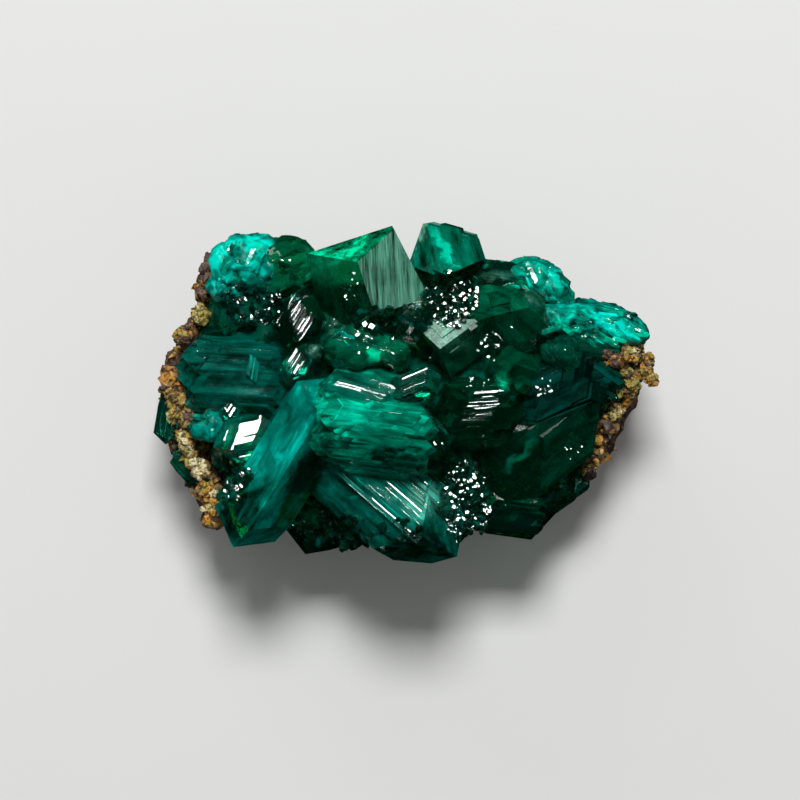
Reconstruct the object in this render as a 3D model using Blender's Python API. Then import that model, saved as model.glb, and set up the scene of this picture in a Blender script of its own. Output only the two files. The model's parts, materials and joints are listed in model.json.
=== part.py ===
"""A dioptase specimen: emerald green crystals grown together on a plate of limonite-stained rock.

It lies on the broken back of its rock, with the crystals up. X runs along its length, Y across it and Z up, and
the origin is under the middle of its bounding box. Lengths are in metres, and the layout below is in millimetres.
"""

import math
from collections import namedtuple

import bmesh
import bpy
import numpy as np
from mathutils import Matrix, Vector, noise

MM = 0.001

# Real sizes of the specimen
CONTACT_GAP = 0.3
ROCK_HALF_LENGTH = 17.0
ROCK_MIDDLE = 5.2
ROCK_ENDS = 9.6
ROCK_WAIST = 3.4
ROCK_BASE = 0.7
ROCK_ROUGHNESS = 0.7
ROCK_SEED = 7
ROOT_CENTRE = (0.2, 0.1, 6.1)
ROOT_RADII = (13.6, 9.2, 4.4)

# Dioptase crystal form: a six-sided prism closed by three rhombohedron faces at each end
PRISM_SIDES = 6
CAP_SIDES = 3
CAP_TILT = math.radians(51.0)

# The middle of the layout's bounding box, which becomes the origin
LAYOUT_CENTRE = (0.0, -0.1)

# Colours of the materials, linear
DIOPTASE_GREEN = (0.004, 0.19, 0.13, 1.0)
LIMONITE_BROWN = (0.30, 0.19, 0.09, 1.0)

# Edge of the rock plate seen from above, anticlockwise from its right end, in millimetres
ROCK_OUTLINE = (
    (17.4, 2.2), (17.0, 3.8), (14.8, 4.9), (11.4, 5.8), (8.4, 7.1), (4.0, 7.9), (-1.0, 8.3), (-6.0, 8.9),
    (-10.4, 9.9), (-13.2, 9.9), (-14.1, 7.4), (-14.7, 5.3), (-15.8, 3.6), (-16.5, 1.2), (-16.6, -0.8),
    (-16.2, -3.4), (-15.3, -5.6), (-14.0, -7.6), (-12.4, -9.3), (-9.0, -9.3), (-4.0, -9.4), (1.0, -9.6),
    (6.0, -9.0), (10.0, -7.8), (12.8, -6.2), (14.2, -4.4), (15.2, -2.4), (16.6, -0.3),
)

# Broken faces of the rock: heading and rise of each normal in degrees, and distance from the rock's middle
FRACTURES = (
    (20, -45, 10.4), (75, -35, 6.1), (130, -50, 9.0), (170, -40, 11.3), (215, -55, 8.4), (262, -38, 6.9),
    (305, -50, 7.1), (345, -35, 11.4), (100, -8, 8.5), (285, -12, 9.0), (352, 12, 16.2), (148, 10, 15.0),
)

# A crystal that lies on its side is placed by the middle of its upper face. heading is where it points, in degrees
# anticlockwise from +X. lean is how far that face's normal tips along X and Y for each unit of Z. radius is from the
# axis to a side face, and ahead and behind are from the middle to its two points. flip turns its points by half a face.
Lying = namedtuple("Lying", "name at heading lean radius ahead behind flip trims", defaults=(False, ()))

# A crystal that stands is placed by its point. axis is where it points, and face is the side that one face of its
# point leans to. trims are vertical planes that cut it off: heading of the normal, and distance from the layout's zero.
Standing = namedtuple("Standing", "name tip axis face radius length trims", defaults=((),))

LYING_CRYSTALS = (
    Lying("bench", (-1.9, -2.7, 14.6), -8, (0.03, -0.12), 3.5, 5.6, 5.2),
    Lying("bench_ridge", (0.9, 0.7, 14.6), 22, (0.0, 0.30), 1.0, 1.8, 2.2),
    Lying("bench_step", (-2.2, 0.1, 14.4), -15, (0.0, 0.45), 1.2, 2.6, 3.6),
    Lying("bench_side", (1.5, -2.7, 13.8), -60, (0.35, 0.1), 1.6, 3.0, 3.0),
    Lying("loaf", (-2.9, 2.4, 12.9), -3, (0.0, -0.22), 1.75, 3.8, 3.0),
    Lying("shelf", (5.3, -1.5, 13.0), 3, (0.0, -0.08), 2.1, 3.0, 3.4),
    Lying("shelf_step", (5.6, -0.3, 13.1), 4, (0.0, 0.30), 0.7, 1.7, 1.7),
    Lying("slab", (-12.8, 1.5, 10.4), -4, (-0.08, 0.12), 2.8, 6.2, 3.3),
    Lying("long_prism", (-8.8, -4.4, 12.2), 238, (-0.36, 0.22), 2.4, 6.6, 7.0),
    Lying("mirror_face", (-10.5, -2.7, 11.5), 13, (0.0, 0.30), 1.6, 2.4, 2.4),
    Lying("mirror_chip", (-11.7, -1.1, 10.1), 60, (0.0, 0.30), 0.55, 0.9, 0.9),
    Lying("striped_face", (-7.0, 5.1, 12.1), 59, (0.0, 0.30), 1.35, 2.1, 2.1),
    Lying("striped_chip", (-7.2, 2.1, 12.0), 58, (0.0, 0.30), 0.75, 1.3, 1.3),
    Lying("front_blade", (-0.9, -6.2, 12.4), -41, (0.0, 0.30), 3.1, 6.2, 7.6, True, ((265, 11.4),)),
    Lying("upper_slab", (7.4, 4.5, 11.3), -45, (0.12, -0.10), 2.9, 4.2, 4.2),
    Lying("dark_face", (10.4, -3.7, 9.9), 38, (0.36, -0.45), 4.0, 10.0, 8.5, False,
          ((-7, 13.4), (-65, 11.0), (112, -5.4))),
    Lying("blue_slab", (10.4, 0.2, 10.9), 25, (-0.05, 0.10), 2.4, 3.8, 3.8),
    Lying("blue_chip", (13.3, 1.2, 9.6), -35, (0.20, 0.10), 1.6, 2.6, 2.6),
    Lying("crust_long", (13.4, 4.8, 9.4), -14, (0.05, 0.35), 1.5, 3.8, 3.6),
    Lying("crust_inner", (10.7, 5.3, 9.9), -8, (0.0, 0.30), 1.3, 2.6, 2.6),
    Lying("crust_outer", (15.2, 4.6, 8.6), -38, (0.25, 0.30), 1.2, 2.4, 2.4),
    Lying("crust_low", (13.1, 3.4, 9.9), -10, (0.0, 0.10), 1.0, 2.4, 2.4),
    Lying("clear_left", (7.2, 8.0, 9.4), -8, (0.0, 0.50), 1.6, 3.2, 3.2),
    Lying("clear_middle", (9.4, 7.8, 9.1), -38, (0.20, 0.50), 1.7, 2.8, 2.8),
    Lying("clear_right", (10.7, 6.6, 8.9), -50, (0.30, 0.40), 1.3, 2.2, 2.2),
    Lying("lower_right", (7.1, -8.4, 9.0), -8, (0.05, -0.35), 1.9, 3.6, 3.6),
    Lying("thumb_side", (9.2, -6.8, 8.2), 20, (0.30, -0.50), 1.8, 3.2, 3.2),
    Lying("corner_right", (10.9, -7.2, 6.3), 35, (0.40, -0.70), 1.7, 3.0, 3.0),
    Lying("lower_left", (-3.9, -8.4, 9.6), 75, (-0.40, -0.35), 2.4, 3.4, 3.4),
    Lying("foot_middle", (-1.2, -9.8, 7.3), -10, (0.0, -0.90), 2.0, 4.2, 4.2),
    Lying("foot_right", (2.6, -10.0, 8.0), 50, (0.10, -0.60), 2.0, 2.8, 2.8),
    Lying("foot_left", (-5.5, -10.0, 6.9), 10, (-0.10, -0.70), 1.9, 2.9, 2.9),
    Lying("lump_clear", (-8.0, 8.2, 10.0), 30, (0.05, 0.05), 1.9, 2.8, 2.8),
    Lying("lump_left", (-11.3, 9.2, 9.2), 35, (-0.20, 0.30), 1.5, 2.3, 2.3),
    Lying("lump_top", (-9.6, 9.8, 9.0), 12, (0.0, 0.50), 1.5, 2.6, 2.6),
    Lying("lump_low", (-11.6, 7.7, 9.0), 20, (-0.15, 0.20), 1.3, 2.1, 1.9),
    Lying("lump_right", (-7.4, 9.5, 8.8), -25, (0.10, 0.50), 1.2, 2.0, 2.0),
    Lying("pocket_left", (-10.7, 6.4, 9.3), 70, (-0.10, 0.10), 1.2, 2.0, 2.0),
    Lying("pocket_right", (-9.2, 6.2, 9.3), 40, (0.10, -0.20), 1.3, 2.2, 2.2),
    Lying("pocket_edge", (-12.3, 5.4, 8.8), 80, (-0.10, 0.10), 1.1, 2.0, 2.0),
    Lying("pocket_low", (-13.0, 4.1, 8.8), 10, (0.0, 0.40), 1.2, 2.2, 2.2),
)

STANDING_CRYSTALS = (
    Standing("top_block", (-3.0, 8.7, 13.8), (-0.06, 0.08, 1.0), (1.0, -0.24, 0.0), 5.0, 8.6,
             ((108, 10.9), (28, 4.65), (186, 5.3), (290, -5.5))),
    Standing("top_point", (2.4, 11.4, 6.9), (-0.24, 0.80, -0.52), (0.30, 0.0, -1.0), 2.2, 8.0,
             ((158, 2.7), (246, -8.4), (294, -6.0))),
    Standing("corner_crystal", (2.5, 2.9, 13.2), (-0.30, -0.40, 1.0), (0.0, 1.0, 0.0), 2.3, 6.0, ((90, 4.9),)),
    Standing("knob", (-13.2, -2.2, 10.0), (-0.15, 0.10, 1.0), (0.3, 1.0, 0.0), 1.25, 4.5),
    Standing("gully_low", (-11.4, -5.6, 9.0), (-0.30, -0.20, 1.0), (-1.0, 0.3, 0.0), 1.4, 4.5),
    Standing("gully_high", (-12.3, -4.2, 9.1), (-0.20, 0.10, 1.0), (0.0, 1.0, 0.0), 0.95, 3.5),
    Standing("gully_end", (-11.9, -7.3, 8.5), (-0.20, -0.10, 1.0), (0.0, 1.0, 0.0), 0.95, 5.0),
    Standing("druse_top_left", (2.3, 6.3, 10.6), (0.10, 0.20, 1.0), (1.0, 0.2, 0.0), 0.9, 3.5),
    Standing("druse_top_right", (4.3, 7.0, 10.6), (0.20, 0.30, 1.0), (0.2, 1.0, 0.0), 0.9, 3.5),
    Standing("druse_top_low", (3.9, 5.3, 10.9), (0.0, 0.30, 1.0), (-0.5, 1.0, 0.0), 1.0, 3.5),
    Standing("druse_low_top", (3.6, -5.8, 11.4), (0.20, -0.20, 1.0), (0.0, 1.0, 0.0), 1.1, 4.0),
    Standing("druse_low_right", (5.0, -7.0, 10.8), (0.30, -0.20, 1.0), (0.5, 1.0, 0.0), 1.1, 4.0),
    Standing("druse_low_end", (4.1, -9.0, 9.9), (0.20, -0.50, 1.0), (-0.4, 1.0, 0.0), 1.3, 4.0),
    Standing("saddle", (7.6, 1.9, 11.8), (0.10, 0.10, 1.0), (0.7, 0.7, 0.0), 1.9, 5.0),
    Standing("cleft", (0.2, 4.2, 9.8), (0.10, 0.20, 1.0), (-0.8, 0.3, 0.0), 1.3, 5.0),
    Standing("nodule", (10.7, 2.8, 12.0), (0.10, 0.10, 1.0), (-0.4, 1.0, 0.0), 1.4, 6.0),
    Standing("lobe", (-0.7, 2.4, 12.9), (0.25, 0.05, 1.0), (0.3, 1.0, 0.0), 1.1, 4.0),
    Standing("striped_root", (-7.1, 4.8, 11.5), (0.0, 0.10, 1.0), (0.3, 1.0, 0.0), 1.1, 5.0),
    Standing("bead", (-5.9, 2.8, 12.5), (0.0, 0.10, 1.0), (0.3, 1.0, 0.0), 0.5, 4.0),
    Standing("pocket_floor", (-9.1, 4.1, 9.9), (0.0, 0.20, 1.0), (0.3, 1.0, 0.0), 0.9, 3.5),
    Standing("back_left", (-5.0, 9.2, 7.6), (-0.10, 0.80, 0.60), (0.0, 0.6, -0.8), 1.6, 5.0),
    Standing("back_right", (5.2, 8.9, 7.4), (0.10, 0.80, 0.60), (0.0, 0.6, -0.8), 1.5, 5.0),
)

RIM_UPPER = Lying("rim_crystal_upper", (-16.2, -1.6, 7.5), 80, (-0.30, 0.0), 0.88, 2.0, 2.0)
RIM_LOWER = Lying("rim_crystal_lower", (-14.9, -5.2, 7.3), 130, (-0.35, -0.20), 0.9, 1.6, 1.6)


def clear_scene():
    for obj in list(bpy.data.objects):
        bpy.data.objects.remove(obj)


def plain_material(name, colour, roughness):
    material = bpy.data.materials.new(name)
    material.use_nodes = True
    shader = material.node_tree.nodes["Principled BSDF"]
    shader.inputs["Base Color"].default_value = colour
    shader.inputs["Roughness"].default_value = roughness
    return material


def add_object(name, bm, material=None):
    mesh = bpy.data.meshes.new(name)
    bm.to_mesh(mesh)
    bm.free()
    obj = bpy.data.objects.new(name, mesh)
    bpy.context.collection.objects.link(obj)
    if material:
        mesh.materials.append(material)
    return obj


def make_helper(obj):
    obj.hide_render = True
    obj.display_type = "WIRE"
    return obj


def cut(bm, point, normal):
    """Removes what lies beyond the plane, and closes the cut."""
    everything = bm.verts[:] + bm.edges[:] + bm.faces[:]
    found = bmesh.ops.bisect_plane(bm, geom=everything, plane_co=point, plane_no=normal, clear_outer=True)
    edges = [part for part in found["geom_cut"] if isinstance(part, bmesh.types.BMEdge)]
    if edges:
        bmesh.ops.holes_fill(bm, edges=edges)


def crystal_mesh(middle, axis, side, radius, ahead, behind, trims=()):
    """A doubly terminated crystal: side is the direction, square to the axis, that a face of its point leans to."""
    bm = bmesh.new()
    bmesh.ops.create_cube(bm, size=4.0 * (radius + ahead + behind))
    bmesh.ops.translate(bm, vec=middle, verts=bm.verts)
    for k in range(PRISM_SIDES):
        turn = Matrix.Rotation(math.radians(30 + 60 * k), 3, axis)
        normal = turn @ side
        cut(bm, middle + normal * radius, normal)
    for k in range(CAP_SIDES):
        turn = Matrix.Rotation(math.radians(120 * k), 3, axis)
        normal = math.cos(CAP_TILT) * axis + math.sin(CAP_TILT) * (turn @ side)
        cut(bm, middle + axis * ahead, normal)
        cut(bm, middle - axis * behind, -normal)
    for heading, distance in trims:
        normal = Vector((math.cos(math.radians(heading)), math.sin(math.radians(heading)), 0.0))
        cut(bm, normal * distance, normal)
    return bm


def lying_mesh(crystal):
    lean = Vector((*crystal.lean, 1.0))
    heading = math.radians(crystal.heading)
    along = Vector((math.cos(heading), math.sin(heading), 0.0))
    along.z = -along.dot(Vector((*crystal.lean, 0.0)))
    axis = along.normalized()
    normal = lean.normalized()
    middle = Vector(crystal.at) - normal * crystal.radius
    side = Matrix.Rotation(math.radians(-30 if crystal.flip else 30), 3, axis) @ normal
    return crystal_mesh(middle, axis, side, crystal.radius, crystal.ahead, crystal.behind, crystal.trims)


def standing_mesh(crystal):
    axis = Vector(crystal.axis).normalized()
    face = Vector(crystal.face)
    side = (face - axis * face.dot(axis)).normalized()
    half = crystal.length / 2
    middle = Vector(crystal.tip) - axis * half
    return crystal_mesh(middle, axis, side, crystal.radius, half, half, crystal.trims)


def to_metres(bm):
    bmesh.ops.translate(bm, vec=(-LAYOUT_CENTRE[0], -LAYOUT_CENTRE[1], 0.0), verts=bm.verts)
    bmesh.ops.scale(bm, vec=(MM, MM, MM), verts=bm.verts)
    return bm


def outline_reach(angle):
    """How far the rock's outline lies from the middle, at this angle."""
    angles = [math.atan2(y, x) for x, y in ROCK_OUTLINE]
    reaches = [math.hypot(x, y) for x, y in ROCK_OUTLINE]
    return float(np.interp(angle, angles, reaches, period=2 * math.pi))


def rock_point(place):
    """Where a point of the unit ball lies on the smooth rock: flat beneath, and higher at both ends than between."""
    flat = math.hypot(place.x, place.y)
    if flat < 1e-6:
        heading, reach = Vector((0.0, 0.0)), 0.0
    else:
        heading = Vector((place.x, place.y)) / flat
        reach = outline_reach(math.atan2(place.y, place.x)) * flat ** 0.7
    x, y = heading * reach
    top = ROCK_MIDDLE + (ROCK_ENDS - ROCK_MIDDLE) * (x / ROCK_HALF_LENGTH) ** 2
    if place.z >= 0:
        return Vector((x, y, ROCK_WAIST + (top - ROCK_WAIST) * place.z ** 0.5))
    return Vector((x, y, ROCK_WAIST * (1.0 - (-place.z) ** 0.5)))


def rock_mesh(detail):
    """A broken plate: flattened against its fracture planes, rough all over, and cut level where it rests."""
    noise.seed_set(ROCK_SEED)
    bm = bmesh.new()
    bmesh.ops.create_icosphere(bm, subdivisions=detail, radius=1.0)
    for vert in bm.verts:
        vert.co = rock_point(vert.co)
        for heading, rise, distance in FRACTURES:
            turn, climb = math.radians(heading), math.radians(rise)
            normal = Vector((math.cos(turn) * math.cos(climb), math.sin(turn) * math.cos(climb), math.sin(climb)))
            beyond = (vert.co - Vector((0, 0, ROCK_WAIST))).dot(normal) - distance
            vert.co -= normal * max(0.0, beyond)
    bm.normal_update()
    bumps = [vert.normal * noise.noise(vert.co * 0.55) * ROCK_ROUGHNESS for vert in bm.verts]
    for vert, bump in zip(bm.verts, bumps):
        vert.co += bump
    cut(bm, Vector((0, 0, ROCK_BASE)), Vector((0, 0, -1)))
    bmesh.ops.translate(bm, vec=(0, 0, -ROCK_BASE), verts=bm.verts)
    return bm


def root_mesh():
    """The solid heart of the cluster, where the crystals share their roots."""
    bm = bmesh.new()
    bmesh.ops.create_icosphere(bm, subdivisions=3, radius=1.0)
    for vert in bm.verts:
        vert.co = Vector([centre + co * radius for centre, co, radius in zip(ROOT_CENTRE, vert.co, ROOT_RADII)])
    return bm


def add_boolean(obj, operation, other):
    boolean = obj.modifiers.new(operation.lower(), "BOOLEAN")
    boolean.operation = operation
    boolean.solver = "MANIFOLD"
    if isinstance(other, bpy.types.Collection):
        boolean.operand_type = "COLLECTION"
        boolean.collection = other
    else:
        boolean.object = other


def build_matrix(material):
    return add_object("matrix", to_metres(rock_mesh(4)), material)


def build_clearance():
    """The rock swollen by the contact gap, which cuts the seats of the crystals."""
    bm = to_metres(rock_mesh(4))
    bm.normal_update()
    swell = CONTACT_GAP * MM
    moved = [vert.co + vert.normal * swell for vert in bm.verts]
    for vert, place in zip(bm.verts, moved):
        vert.co = place
    return make_helper(add_object("clearance", bm))


def build_cluster(material, clearance):
    cluster = add_object("crystal_cluster", to_metres(root_mesh()), material)
    members = bpy.data.collections.new("cluster_members")
    bpy.context.scene.collection.children.link(members)
    meshes = [(crystal.name, lying_mesh(crystal)) for crystal in LYING_CRYSTALS]
    meshes += [(crystal.name, standing_mesh(crystal)) for crystal in STANDING_CRYSTALS]
    for name, bm in meshes:
        member = make_helper(add_object("member_" + name, to_metres(bm)))
        bpy.context.collection.objects.unlink(member)
        members.objects.link(member)
    add_boolean(cluster, "UNION", members)
    add_boolean(cluster, "DIFFERENCE", clearance)


def build_rim_crystal(crystal, material, clearance):
    obj = add_object(crystal.name, to_metres(lying_mesh(crystal)), material)
    add_boolean(obj, "DIFFERENCE", clearance)


def main():
    clear_scene()
    dioptase = plain_material("dioptase", DIOPTASE_GREEN, 0.1)
    limonite = plain_material("limonite_rock", LIMONITE_BROWN, 0.9)
    build_matrix(limonite)
    clearance = build_clearance()
    build_cluster(dioptase, clearance)
    for crystal in (RIM_UPPER, RIM_LOWER):
        build_rim_crystal(crystal, dioptase, clearance)


main()
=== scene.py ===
"""A dioptase specimen: emerald crystals grown together on limonite-stained rock, finished for a photograph.

Lengths in the tables are in millimetres, in a layout whose middle is LAYOUT_CENTRE.
Finished meshes are in metres.
"""

import json
import math
import random
from collections import namedtuple

import bmesh
import bpy
import numpy as np
from bpy.props import FloatProperty, FloatVectorProperty, IntProperty, PointerProperty
from mathutils import Matrix, Vector, noise
from mathutils.bvhtree import BVHTree

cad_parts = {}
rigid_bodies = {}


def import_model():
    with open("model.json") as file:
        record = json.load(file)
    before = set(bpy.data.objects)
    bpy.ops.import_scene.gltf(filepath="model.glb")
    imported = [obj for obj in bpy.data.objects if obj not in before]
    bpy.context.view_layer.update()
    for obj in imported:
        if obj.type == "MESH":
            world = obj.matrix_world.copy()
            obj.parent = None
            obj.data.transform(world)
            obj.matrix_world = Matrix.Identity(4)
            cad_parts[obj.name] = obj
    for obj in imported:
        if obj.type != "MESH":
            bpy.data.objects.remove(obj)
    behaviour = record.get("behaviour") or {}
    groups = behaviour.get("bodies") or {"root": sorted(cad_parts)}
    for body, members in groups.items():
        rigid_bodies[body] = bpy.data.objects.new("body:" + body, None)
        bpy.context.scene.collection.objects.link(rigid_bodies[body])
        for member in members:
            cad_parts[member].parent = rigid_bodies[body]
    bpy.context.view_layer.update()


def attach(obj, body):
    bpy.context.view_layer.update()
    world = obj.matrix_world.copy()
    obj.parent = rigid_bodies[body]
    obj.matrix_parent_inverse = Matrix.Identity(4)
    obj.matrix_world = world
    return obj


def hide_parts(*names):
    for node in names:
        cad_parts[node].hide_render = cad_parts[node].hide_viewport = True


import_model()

bl_info = {
    "name": "Dioptase specimen",
    "version": (1, 0, 0),
    "blender": (4, 5, 0),
    "location": "3D View > Sidebar > Dioptase",
    "description": "Builds a dioptase crystal cluster on its matrix, with a plain studio round it",
    "category": "Add Mesh",
}

MM = 0.001
LAYOUT_CENTRE = (0.0, -0.1)
TO_METRES = Matrix.Scale(MM, 4) @ Matrix.Translation((-LAYOUT_CENTRE[0], -LAYOUT_CENTRE[1], 0.0))
UP = Vector((0.0, 0.0, 1.0))
DOWN = Vector((0.0, 0.0, -1.0))

# Dioptase crystal form: a six-sided prism closed by three rhombohedron faces at each end
PRISM_SIDES = 6
PRISM_TURN = 360 / PRISM_SIDES
CAP_SIDES = 3
CAP_TURN = 360 / CAP_SIDES
FACET_COUNT = PRISM_SIDES + 2 * CAP_SIDES
CAP_TILT = math.radians(51.0)
ROOT_CENTRE = (0.2, 0.1, 6.1)
ROOT_RADII = (13.6, 9.2, 4.4)

# The rock under the crystals
ROCK_HALF_LENGTH = 17.0
ROCK_MIDDLE = 5.2
ROCK_ENDS = 9.6
ROCK_WAIST = 3.4
ROCK_BASE = 0.7
ROCK_ROUGHNESS = 0.7
ROCK_SEED = 7
ROCK_DETAIL = 6
SEAT_DETAIL = 5
SEAT_DEPTH = 0.45

# The rock's relief: waves per millimetre, and strengths as a share of its grain. Its cells neither rise nor
# sink where they are CELL_MIDDLE from their own centre.
BROAD_WAVES = 0.55
LUMP_WAVES, LUMP_RELIEF = 1.7, 1.6
CRUMB_WAVES, CRUMB_RELIEF = 5.0, 0.8
CELL_WAVES, CELL_MIDDLE = 2.4, 0.55

# Lumps of the crust: how uneven they are, and the knobs along the rim with the banks under them
CRUST_STRETCH = (0.6, 1.4)
CRUST_UNEVEN = (0.86, 1.14)
CRUST_BEND, CRUST_BEND_WAVES = 0.7, 2.8
KNOB_RADIUS = (0.36, 0.56)
KNOB_LUMPS = 16
KNOB_OVERLAP = 0.95
LEAST_KNOB_LUMP, KNOB_LUMP_SPREAD = 0.09, 0.26
ROUND_LUMP = 0.16
BANK_STEP = 0.5
BANK_SINK = 0.3
BANK_STRAY = 0.15
GRAIN_HEIGHTS = (0.6, 9.5)
GRAIN_RADIUS = (0.09, 0.16)
GRAIN_SPREAD = 0.22
GRAIN_SINK = 0.25

# Growth plates and ridges, mostly as shares of their crystal's radius, length or step
SIDE_PLATES = 0.75
PLATE_RADIUS = (0.12, 0.5)
PLATE_REACH = (0.10, 0.42)
PLATE_LIFT = (0.2, 1.0)
PLATE_TAPER = (0.7, 1.0)
PLATE_ROOM = 0.57
PLATE_END = 0.85
UPPER_POINTS = 0.55
POINT_PLATE_PLACE = (0.05, 0.55)
POINT_PLATE_RADIUS = (0.2, 0.5)
RIB_BAND = 1.15
RIB_RADIUS = (0.40, 0.85)
RIB_REACH = (0.12, 0.42)
RIB_LIFT = (0.6, 1.6)
RIB_TURN = 15.0
RIB_OVERHANG = 0.06
SLOT_SHARE = (0.2, 0.8)
FEWEST_FACES = 6

# How far apart neighbours' patterns and shades are set
GRAIN_SHIFTS = (7.3, 3.1)
PLATE_SHIFT, PLATE_SHIFTS = 0.1, 7
LUMP_SHIFT, BED_SHIFT, RIM_SHIFT = 60, 70, 90
SHADE_SPREAD = 0.07
PLATE_SHADE_SPREAD = 0.4 * SHADE_SPREAD

# Small crystals of the beds, and the rounded growths
MIRRORING = Vector((0.0, 0.30, 1.0))
MIRRORING_STRAY = 0.05
MOST_TIPPED = math.radians(16.0)
STEEPEST_LAY = 0.45
RISE_STANDING, RISE_LYING = 0.1, -0.45
LONGER_LYING = 2.0
HIGH_ABOVE = 40.0
LUMP_SWELL = 0.55
LUMP_SWELL_WAVES = 0.55

# The photograph's frame, in pixels, and where the layout's zero lies in it
FRAME_SIZE = 800
ZERO_PIXEL = (402.5, 392.5)
PIXELS_PER_MM = 14.7
SENSOR_WIDTH = 36.0
VIEW_DISTANCE = 240.0
FOCUS_HEIGHT = 9.0

# The softboxes, in metres, and the directions they stand in
KEY_DIRECTION = (0.0, 0.55, 0.835)
KEY_SIZE = (0.20, 0.16)
FILL_DIRECTION = (-0.41, 0.83, 0.38)
FILL_DISTANCE = 0.9
FILL_SIZE = (0.40, 0.35)

# Edge of the rock plate seen from above, anticlockwise from its right end
ROCK_OUTLINE = (
    (17.4, 2.2), (17.0, 3.8), (14.8, 4.9), (11.4, 5.8), (8.4, 7.1), (4.0, 7.9), (-1.0, 8.3), (-6.0, 8.9),
    (-10.4, 9.9), (-13.2, 9.9), (-14.1, 7.4), (-14.7, 5.3), (-15.8, 3.6), (-16.5, 1.2), (-16.6, -0.8),
    (-16.2, -3.4), (-15.3, -5.6), (-14.0, -7.6), (-12.4, -9.3), (-9.0, -9.3), (-4.0, -9.4), (1.0, -9.6),
    (6.0, -9.0), (10.0, -7.8), (12.8, -6.2), (14.2, -4.4), (15.2, -2.4), (16.6, -0.3),
)

# Runs of knobs along the rock's rim: from, to, how many, and their tone from brown at 0 to cream at 1
SEAMS = (
    ((-13.0, 9.3, 8.3), (-13.7, 6.6, 7.9), 5, 0.0), ((-14.0, 5.7, 8.3), (-13.5, 4.9, 8.7), 2, 0.5),
    ((-14.7, 4.4, 8.1), (-15.1, 3.5, 7.9), 2, 0.05), ((-16.0, 0.7, 8.0), (-15.2, -2.0, 8.2), 4, 0.42),
    ((-15.3, -0.2, 8.4), (-14.6, -2.2, 8.5), 3, 0.35), ((-15.0, -2.9, 8.1), (-14.5, -4.1, 8.2), 3, 0.7),
    ((-14.6, -4.5, 8.1), (-13.6, -5.6, 8.3), 3, 0.95), ((-13.5, -6.2, 8.1), (-13.0, -8.9, 7.4), 5, 0.55),
    ((13.7, 2.9, 9.4), (14.3, 2.2, 9.3), 2, 0.0), ((14.7, 2.8, 9.1), (16.0, 2.6, 8.8), 3, 0.55),
    ((16.7, 2.5, 8.3), (16.7, 0.8, 8.0), 4, 0.42), ((15.2, 1.4, 8.8), (15.9, 0.2, 8.1), 3, 0.4),
    ((14.9, 0.3, 8.3), (15.7, -0.4, 7.8), 2, 0.1), ((15.0, -0.9, 7.8), (13.8, -2.6, 7.3), 4, 0.3),
    ((13.6, -3.2, 7.2), (12.8, -5.4, 6.6), 4, 0.25),
)

# Broken faces of the rock: heading and rise of each normal in degrees, and distance from the rock's middle
FRACTURES = (
    (20, -45, 10.4), (75, -35, 6.1), (130, -50, 9.0), (170, -40, 11.3), (215, -55, 8.4), (262, -38, 6.9),
    (305, -50, 7.1), (345, -35, 11.4), (100, -8, 8.5), (285, -12, 9.0), (352, 12, 16.2), (148, 10, 15.0),
)

# A crystal that lies on its side is placed by the middle of its upper face. heading is where it points, in
# degrees anticlockwise from +X. lean is how far that face's normal tips along X and Y for each unit of Z.
# radius is from the axis to a side face, and ahead and behind are from the middle to its two points. flip
# turns its points by half a face.
Lying = namedtuple("Lying", "name at heading lean radius ahead behind flip trims", defaults=(False, ()))

# A crystal that stands is placed by its point. axis is where it points, and face is the side that one face
# of its point leans to. trims are vertical planes that cut it off: heading of the normal, and distance from
# the layout's zero.
Standing = namedtuple("Standing", "name tip axis face radius length trims", defaults=((),))

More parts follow.
